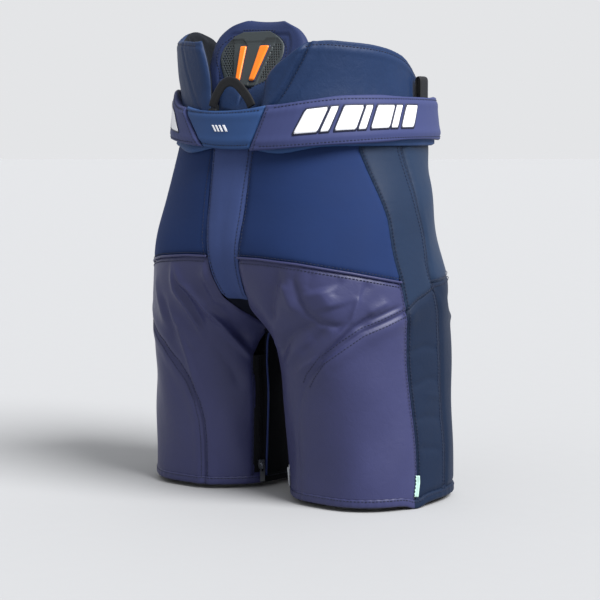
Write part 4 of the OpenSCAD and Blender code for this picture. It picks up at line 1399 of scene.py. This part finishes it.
def decal(name, pad, corners, material, slot, lift, thick=0.0004, cells=(14, 12), round_off=0.0):
    """A thin print on a pad: corners are (s, t) in the order low start, low end, high end, high start."""
    c = np.array(corners, float)
    u, v = np.linspace(0, 1, cells[0])[:, None, None], np.linspace(0, 1, cells[1])[None, :, None]
    st = (1 - u) * (1 - v) * c[0] + u * (1 - v) * c[1] + u * v * c[2] + (1 - u) * v * c[3]
    if round_off:
        pull = round_off * (np.maximum(0, np.abs(2 * v - 1) - 0.72) / 0.28) ** 3
        st = st + (0.5 - u) * pull * (c[1] - c[0])
    outer, inner = (pad.point(st[..., 0], st[..., 1], h) for h in (lift, lift - thick))
    show(closed_grid(name, outer, inner, material, st, pad.side), "waist", slot)


for pad in (belt_centre, *belt_sides.values()):
    edge_channels(pad)
    pad_stitches(pad, "low", 0.0045)
    pad_stitches(pad, "high", 0.0045)
for pad in belt_sides.values():
    for edge, inset in (("end", 0.004), ("start", 0.004), ("start", 0.010)):
        pad_stitches(pad, edge, inset, samples=60)
belt_centre.finish(["belt_back_centre"], "belt_blue")
for side, pad in belt_sides.items():
    pad.finish(["belt_side_" + SIDES[side]], "belt_purple")

# Generic slanted bars where the belt carries its big print: share along the belt of each bar
BARS = ((0.935, 0.862), (0.852, 0.826), (0.806, 0.733), (0.723, 0.697), (0.677, 0.604), (0.594, 0.568),
        (0.548, 0.500))
BAR_SLANT, BAR_LOW, BAR_HIGH = 0.016, 0.30, 0.77
BAR_LAYERS = (("edge", "print_navy", 0.0016, 0.0007), ("face", "print_white", 0.0, 0.0012))
for side, pad in belt_sides.items():
    for k, bar in enumerate(BARS):
        back, front = (0.4835 + 0.914 * (share - 0.5) if side == -1 else share - 0.022 for share in bar)
        for which, key, grow, lift in BAR_LAYERS:
            ds, dt = grow / pad.wide, grow / pad.tall
            low, high = BAR_LOW - dt, BAR_HIGH + dt
            corners = [(front + BAR_SLANT / 2 - ds, low), (back + BAR_SLANT / 2 + ds, low),
                       (back - BAR_SLANT / 2 + ds, high), (front - BAR_SLANT / 2 - ds, high)]
            decal(f"belt_bar_{which}_{k}_{SIDES[side]}", pad, corners, M[key], "belt_purple", lift,
                  thick=0.0005 + lift, round_off=0.1)
for k in range(4):
    middle = 0.5 + (k - 1.5) * 0.048
    corners = [(middle - 0.012 + 0.01, 0.44), (middle + 0.012 + 0.01, 0.44),
               (middle + 0.012 - 0.01, 0.60), (middle - 0.012 - 0.01, 0.60)]
    decal(f"belt_small_bar_{k}", belt_centre, corners, M["print_white"], "belt_blue", 0.0006, cells=(6, 8))


def pleat_line(u, up):
    """The stitched seam up the right wing, a little in front of its pleat."""
    z = np.interp(u, [0, 1], [WING_LOW, 0.531])
    s = (wing_pleat(z) - 1.5 - WING_FRONT) / (wing_back(z, -1) - WING_FRONT)
    return wings[-1].point(s, np.minimum((z - WING_LOW) / (wing_top(s, -1) - WING_LOW), 0.97), up)


for side, pad in wings.items():
    a, z = angle_of(pad.outer, side), pad.outer[..., 2]
    pleat = np.abs(a - wing_pleat(z)) * 0.0026
    fold = np.abs(a - wing_pleat(z) + 7) * 0.0026
    beside = 0.0010 * np.exp(-(fold / 0.004) ** 2) * smooth((0.53 - z) / 0.06)
    lift = channel(pleat, 0.0026, 0.0028, 0.0010) - beside
    low_creases = 0.0007 * np.sin(a * 0.42 + 11 * np.sin(a * 0.05)) * np.exp(-(z - 0.455) / 0.016)
    pad.carve(lift * (1 if side == -1 else 0.25) + low_creases)
    edge_channels(pad, inset=0.006, depth=0.0006)
    pad.finish(["kidney_pad_" + SIDES[side]], "wing_fabric")
    pad_stitches(pad, "high", 0.0065, samples=300)
stitch("waist", *surface_run(pleat_line, np.linspace(0.35, 0.97, 120)))

# ---- spine dome, plate and cover

v = spine.t[None, :] * SPINE_LENGTH
edge = np.minimum(spine.s, 1 - spine.s)[:, None] * spine_half(v) * 2
edge = np.minimum(edge, (1 - spine.t)[None, :] * SPINE_LENGTH)
spine.carve(channel(np.abs(edge - 0.0215), 0.0018, 0.0009, 0.0003) * smooth((v - 0.04) / 0.01))
spine.finish(["spine_pad"], "spine_fabric")

PLATE_LOW, PLATE_HIGH = 0.049, 0.119
PLATE_HALF = np.array([[49, 14], [52, 21], [59, 31], [72, 38], [85, 44], [92, 44.5], [101, 42.5],
                       [107, 37.5], [112, 31], [116, 23], [119, 15.5]]) / 1000
PLATE_OFF = 0.0008         # how far the back of the plate lies off the pad
PLATE_BASE = 0.0008        # its thickness under the relief


def moved_plate(x, v):
    """The plate lies a little low and to the left on the pad, and its left half is the wider one."""
    return x * (1 + 0.12 * (x > 0)) + 0.002, v - 0.0035


def plate_point(x, v, h):
    return spine_point(*moved_plate(x, v), h + PLATE_OFF)


def plate_half(v):
    return soft_curve(v, PLATE_HALF[:, 0], PLATE_HALF[:, 1], 0.0015)


def plate_height(x, v):
    """Facets of the plate: a raised middle, hollows for the bars, and lower, perforated side fields."""
    ax = np.abs(x)
    edge = np.minimum(np.minimum(plate_half(v) - ax, PLATE_HIGH - v), (v - PLATE_LOW))
    centre = np.interp(v, [0.049, 0.100, 0.119], [0.0045, 0.0078, 0.024])
    outer = np.interp(v, [0.049, 0.060, 0.104, 0.119], [0.0155, 0.0170, 0.0275, 0.031])
    height = 0.0040 - 0.0014 * smooth((ax - centre) / 0.002) * smooth((0.110 - v) / 0.004)
    height = height - 0.0012 * smooth((ax - outer) / 0.0025)
    height = height + 0.0007 * smooth((v - 0.1035) / 0.003)
    return height * np.clip(edge / 0.0018, 0, 1) ** 0.5 + 0.0002


def plate_holes():
    """Places of the perforations, in rows on both side fields."""
    places = []
    for i in range(14):
        height = 0.0610 + 0.0031 * i
        first = np.interp(height, [0.060, 0.104], [0.0205, 0.0290])
        for k in range(6):
            x = first + 0.0034 * k + 0.0017 * (i % 2)
            if x < plate_half(np.array(height)) - 0.0042:
                places += [(x, height), (-x, height)]
    return np.array(places)


def spine_plate():
    v = np.linspace(PLATE_LOW, PLATE_HIGH, 130)[None, :]
    share = np.linspace(1, -1, 137)[:, None]
    x = share * plate_half(v)
    v = np.broadcast_to(v, x.shape)
    height = plate_height(x, v)
    nearest = np.full(x.shape, 1.0)
    for hx, hv in plate_holes():
        nearest = np.minimum(nearest, np.hypot(x - hx, v - hv))
    height = height - 0.0014 * smooth((0.00115 - nearest) / 0.0005)
    outer, inner = plate_point(x, v, PLATE_BASE + height), plate_point(x, v, 0.0)
    made = closed_grid("spine_shield", outer, inner, [M["plate"], M["plate_dark"]], np.stack([x, v], -1))
    cells = (nearest[:-1, :-1] + nearest[1:, 1:]) / 2 < 0.0009
    for face, dark in zip(made.data.polygons, cells.ravel()):
        face.material_index = int(dark)
    show(made, "waist", "plate_plastic", "spine_plate")


# Parts of a bar on the plate: name, material, slot, growth, base and top
BAR_PARTS = (("frame", "print_navy", "plate_plastic", 0.0016, 0.0005, 0.0042),
             ("insert", "orange", "orange_insert", 0.0, 0.0020, 0.0058))
INSERT_LOW, INSERT_HIGH = 0.0555, 0.1005
# Distances of its inner and its outer edge from the middle, each at the low and the high end, by side
INSERT_EDGES = {1: ((0.0062, 0.0088), (0.0125, 0.0180)), -1: ((0.0056, 0.0088), (0.0136, 0.0240))}


def bar_insert(side):
    """A raised insert with a rounded top, and a dark frame round it."""
    low, high = INSERT_LOW, INSERT_HIGH
    for which, key, slot, grow, base, top in BAR_PARTS:
        v = np.linspace(low - grow, high + grow, 40)[None, :]
        inside, outside = (np.interp(v, [low, high], ends) for ends in INSERT_EDGES[side])
        inside, outside = inside - grow, outside + grow
        end = np.clip(np.minimum(v - low + grow, high + grow - v) / 0.0018, 0, 1) ** 0.5
        middle, half = (inside + outside) / 2, (outside - inside) / 2 * (0.55 + 0.45 * end)
        share = np.linspace(1, -1, 17)[:, None]
        x = side * (middle + half * share)
        crown = np.minimum(1, (1 - np.abs(share)) / 0.3) ** 0.5 * (0.25 + 0.75 * end)
        outer = plate_point(x, v, PLATE_BASE + base + (top - base) * crown)
        inner = plate_point(x, v, PLATE_BASE + base - 0.0004 + 0 * crown)
        made = closed_grid(f"spine_{which}_{SIDES[side]}", outer, inner, M[key],
                           np.stack(np.broadcast_arrays(x, v), -1), side)
        nodes = ["spine_plate_bars"] if which == "insert" and side == 1 else []
        show(made, "waist", slot, *nodes)


RING = np.linspace(0, 1, 260)          # shares of the way round the plate


def ring_line():
    """Places x and v of a seam round the plate."""
    v = 0.047 + 0.0755 * np.clip((1 - np.cos(RING * 2 * math.pi)) / 2, 0, 1)
    x = (plate_half(np.clip(v, 0.0495, 0.1185)) + 0.0045) * np.where(RING < 0.5, 1, -1)
    return x * smooth(np.minimum(RING, 1 - RING) / 0.02) * smooth(np.abs(RING - 0.5) / 0.03), v


def around_plate(u, up):
    x, v = moved_plate(*(np.interp(u, RING, values) for values in ring_line()))
    return spine.point((1 - x / spine_half(v)) / 2, v / SPINE_LENGTH, up)


spine_plate()
for side in (1, -1):
    bar_insert(side)
stitch("waist", *surface_run(around_plate, np.linspace(0.06, 0.94, 300)))
notch = np.abs(cover.s - 0.5)[:, None] * cover.wide
cover.carve(channel(notch, 0.0016, 0.0022, 0.0004) * smooth((cover.t[None, :] - 0.25) / 0.4))
cover.finish(["spine_cover"], "wing_fabric", fill=0.6)
pad_stitches(cover, "high", 0.0035, span=(0.04, 0.96))

for pad, node in hidden:
    hard = node.startswith("thigh_guard")
    pad.finish([node], "guard_plastic" if hard else "foam", fill=None if hard else 0.8)

# ---------------------------------------------------------------- webbing, waistband, fly and tag


def strap(name, path, across, wide, thick, body, nodes=(), rows_across=9):
    """Flat webbing along a path: across gives the direction of its width at each point."""
    path, across = np.asarray(path, float), np.asarray(across, float)
    ahead = np.gradient(path, axis=0)
    ahead /= np.linalg.norm(ahead, axis=1)[:, None]
    across = across - ahead * (across * ahead).sum(1)[:, None]
    across /= np.linalg.norm(across, axis=1)[:, None]
    up = np.cross(ahead, across)
    share = np.linspace(-1, 1, rows_across)
    ribs = 1 - 0.10 * np.cos(share * math.pi * 3)
    half = thick / 2 * np.where(np.abs(share) > 0.95, 0.35, ribs)      # thin at its edges
    top = [(s * wide / 2, h) for s, h in zip(share, half)]
    outline = np.array(top + [(x, -h) for x, h in reversed(top)])
    rings = path[:, None] + outline[None, :, :1] * across[:, None] + outline[None, :, 1:] * up[:, None]
    count = len(outline)
    faces = []
    for i in range(len(path) - 1):
        for j in range(count):
            k = (j + 1) % count
            faces.append((i * count + j, (i + 1) * count + j, (i + 1) * count + k, i * count + k))
    faces += [tuple(range(count)), tuple((len(path) - 1) * count + j for j in reversed(range(count)))]
    made = turned_out(new_object(name, rings.reshape(-1, 3), faces, M["webbing"]))
    show(made, body, "webbing", *nodes)


def smooth_path(corners, samples, blur):
    """A path through corners with its turns rounded off."""
    corners = np.asarray(corners, float)
    reach = np.concatenate([[0], np.cumsum(np.linalg.norm(np.diff(corners, axis=0), axis=1))])
    reach /= reach[-1]
    u = np.linspace(0, 1, samples)
    taps = np.linspace(-1, 1, 9)
    path = np.zeros((samples, 3))
    for tap in taps:
        at = np.clip(u + tap * blur * np.minimum(1, np.minimum(u, 1 - u) / blur), 0, 1)
        path += np.stack([np.interp(at, reach, corners[:, k]) for k in range(3)], -1)
    return path / len(taps)


def hang_loop():
    y, foot = 0.1245, 0.4568
    feet = {1: 0.0305, -1: -0.028}
    corners = [(feet[-1], y, foot), (-0.0225, y + 0.0006, foot + 0.011), (-0.0035, y + 0.001, foot + 0.0290),
               (0.0115, y + 0.001, foot + 0.0285), (0.0265, y + 0.0006, foot + 0.010), (feet[1], y, foot)]
    arch = smooth_path(corners, 60, 0.09)
    across = np.cross(np.gradient(arch, axis=0), [0, 1.0, 0])
    strap("hang_loop_webbing", arch, across, 0.0115, 0.0022, "hang_loop_body", ["hang_loop"])
    for side in (1, -1):
        tab = [(feet[side], y, z) for z in np.linspace(0.4405, 0.4550, 8)]
        strap("hang_tab_" + SIDES[side], tab, [(1, 0, 0)] * 8, 0.0115, 0.0020, "waist",
              ["hang_loop_tabs"] if side == 1 else [])


def suspender_loop(side):
    x0, y0, z0 = body_point(0.4704, -16, BELT_IN + 0.002, side)
    lean, tall, deep = 0.00075, 0.023, 0.0085
    corners = [(0, -0.004), (0, tall * 0.86), (deep * 0.2, tall * 0.97), (deep * 0.5, tall),
               (deep * 0.8, tall * 0.97), (deep, tall * 0.86), (deep, -0.004)]
    corners = [(lean + (deep - 2 * lean) * p / deep, q * 0.965) for p, q in corners]
    path = smooth_path([(x0 + side * p, y0, z0 + q) for p, q in corners], 50, 0.07)
    strap("suspender_webbing_" + SIDES[side], path, [(0, 1, 0)] * 50, 0.0158, 0.0015, "waist",
          ["suspender_loop_" + SIDES[side]])


def waist_band():
    """Fabric behind the belt, which shows a little under it, and the webbing strap in front."""
    a = np.linspace(-80, 260, 200)[:, None]
    t = np.linspace(0, 1, 12)[None, :]
    top, height = 0.4345, 0.031
    low = 0.4125 - 0.0085 * np.exp(-((np.abs(a - 90) - 22) / 14) ** 2)
    z = low + (top - low) * t
    edge = np.minimum(t, 1 - t) * height
    fill = stand_off(np.where(a > 180, a - 360, a)) / 0.011      # 1 where the belt stands off the body most
    rise = np.sqrt(1 - (1 - np.clip(edge / 0.0022, 0, 1)) ** 2)
    half = (0.0018 + 0.0014 * fill) * rise + 0.0001
    ripple = 0.0004 * np.sin(a * 0.33 + 2 * np.sin(a * 0.07)) * (1 - t)
    middle = 0.0030 + 0.0004 * fill + ripple
    outer, inner = body_point(z, a, middle + half), body_point(z, a, middle - half)
    uvs = np.stack(np.broadcast_arrays(a * 0.0026, z), -1)
    made = closed_grid("waist_band", outer, inner, M["belt_blue"], uvs)
    show(made, "waist", "belt_blue", "waistband_backing")
    a = np.linspace(-120, -60, 70)
    path = body_point(0.4445, a, BELT_OUT + 0.0014 + stand_off(a))
    strap("waist_strap_webbing", path, [(0, 0, 1)] * 70, 0.0248, 0.0014, "waist", ["waist_strap"],
          rows_across=19)
    for node in ("buckle_frame", "buckle_lever"):
        paint(node, M["buckle"], 0.0006)
    paint("buckle_pin", M["steel"], 0.0003)


# The two layers of the fly: node, material, slot, half width, lift, thickness, body
FLY_LAYERS = (("fly_flap", "front", "front_fabric", 0.0295, 0.0030, 0.0018, "fly"),
              ("fly_underlap", "dark", "dark_fabric", 0.0335, -0.0036, 0.0016, "waist"))

def fly():
    """The fly: a flap that opens sideways, over a dark underlap."""
    z = np.linspace(0.301, 0.401, 40)[None, :]
    share = np.linspace(-1, 1, 27)[:, None]
    for node, key, slot, half, out, thick, body in FLY_LAYERS:
        heights = z if node == "fly_flap" else 0.300 + (z - 0.301) * 1.24
        edge = np.minimum((1 - np.abs(share)) * half, np.minimum(z - 0.301, 0.401 - z))
        lift = out - 0.0006 * np.exp(-edge / 0.002)
        x, heights = np.broadcast_arrays(share * half, heights)
        y = depth_at(rounded(x), heights, -1)
        outer = np.stack([x, y - lift, heights], -1)
        inner = np.stack([x, y - out + thick, heights], -1)
        made = closed_grid(node + "_cloth", outer, inner, M[key], np.stack([x, heights], -1))
        show(made, body, slot, node)

    def line(edge_x):
        def run(u, up):
            height = 0.304 + 0.094 * u
            x = edge_x + 0 * u
            return np.stack([x, depth_at(np.abs(x), height, -1) - 0.0030 - up, height], -1)
        return run
    for edge_x in (-0.0262, -0.0225, 0.0262):
        stitch("fly", *surface_run(line(edge_x), np.linspace(0, 1, 80)))


def side_tag():
    """A blank label, folded double, in the seam at the right side of the hem."""
    side = -1
    patch = Patch(lambda z: strip_back(z) - 0.8, lambda z: strip_back(z) + 2.2, constant(0.014),
                  constant(0.038), side, off=0.0004)
    along = np.linspace(0, 1, 25)[:, None]
    t = np.linspace(0, 1, 22)[None, :]
    s = np.abs(1 - 2 * along) ** 1.2
    lift = 0.0002 + 0.0014 * smooth((along - 0.42) / 0.16) - 0.0026 * smooth((s - 0.15) / 0.6)
    half_thick = 0.0003 * np.sign(along - 0.5)
    outer, inner = patch.point(s, t, lift + half_thick), patch.point(s * 0.96, t, lift - half_thick)
    uvs = np.stack(np.broadcast_arrays(2 * along * patch.wide, t * patch.tall), -1)
    made = closed_grid("side_label", outer, inner, M["tag"], uvs, side)
    show(made, side, "tag", "side_tag")


hip_lining()
for side in (1, -1):
    hem(side)
    leg_lining(side)
    zipper(side)
    suspender_loop(side)
hang_loop()
waist_band()
fly()
side_tag()


# ---------------------------------------------------------------- thread, last of the sewn pieces


def make_threads():
    for key, (points, faces) in threads.items():
        made = new_object("stitching_" + key, points, faces, M["thread"])
        if key.startswith("leg_"):
            follow_leg(made, 1 if key.endswith("left") else -1)
        else:
            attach(made, key)


make_threads()

low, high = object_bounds()
{"cad": [list(cad_low), list(cad_high)], "visual": [list(low), list(high)]}
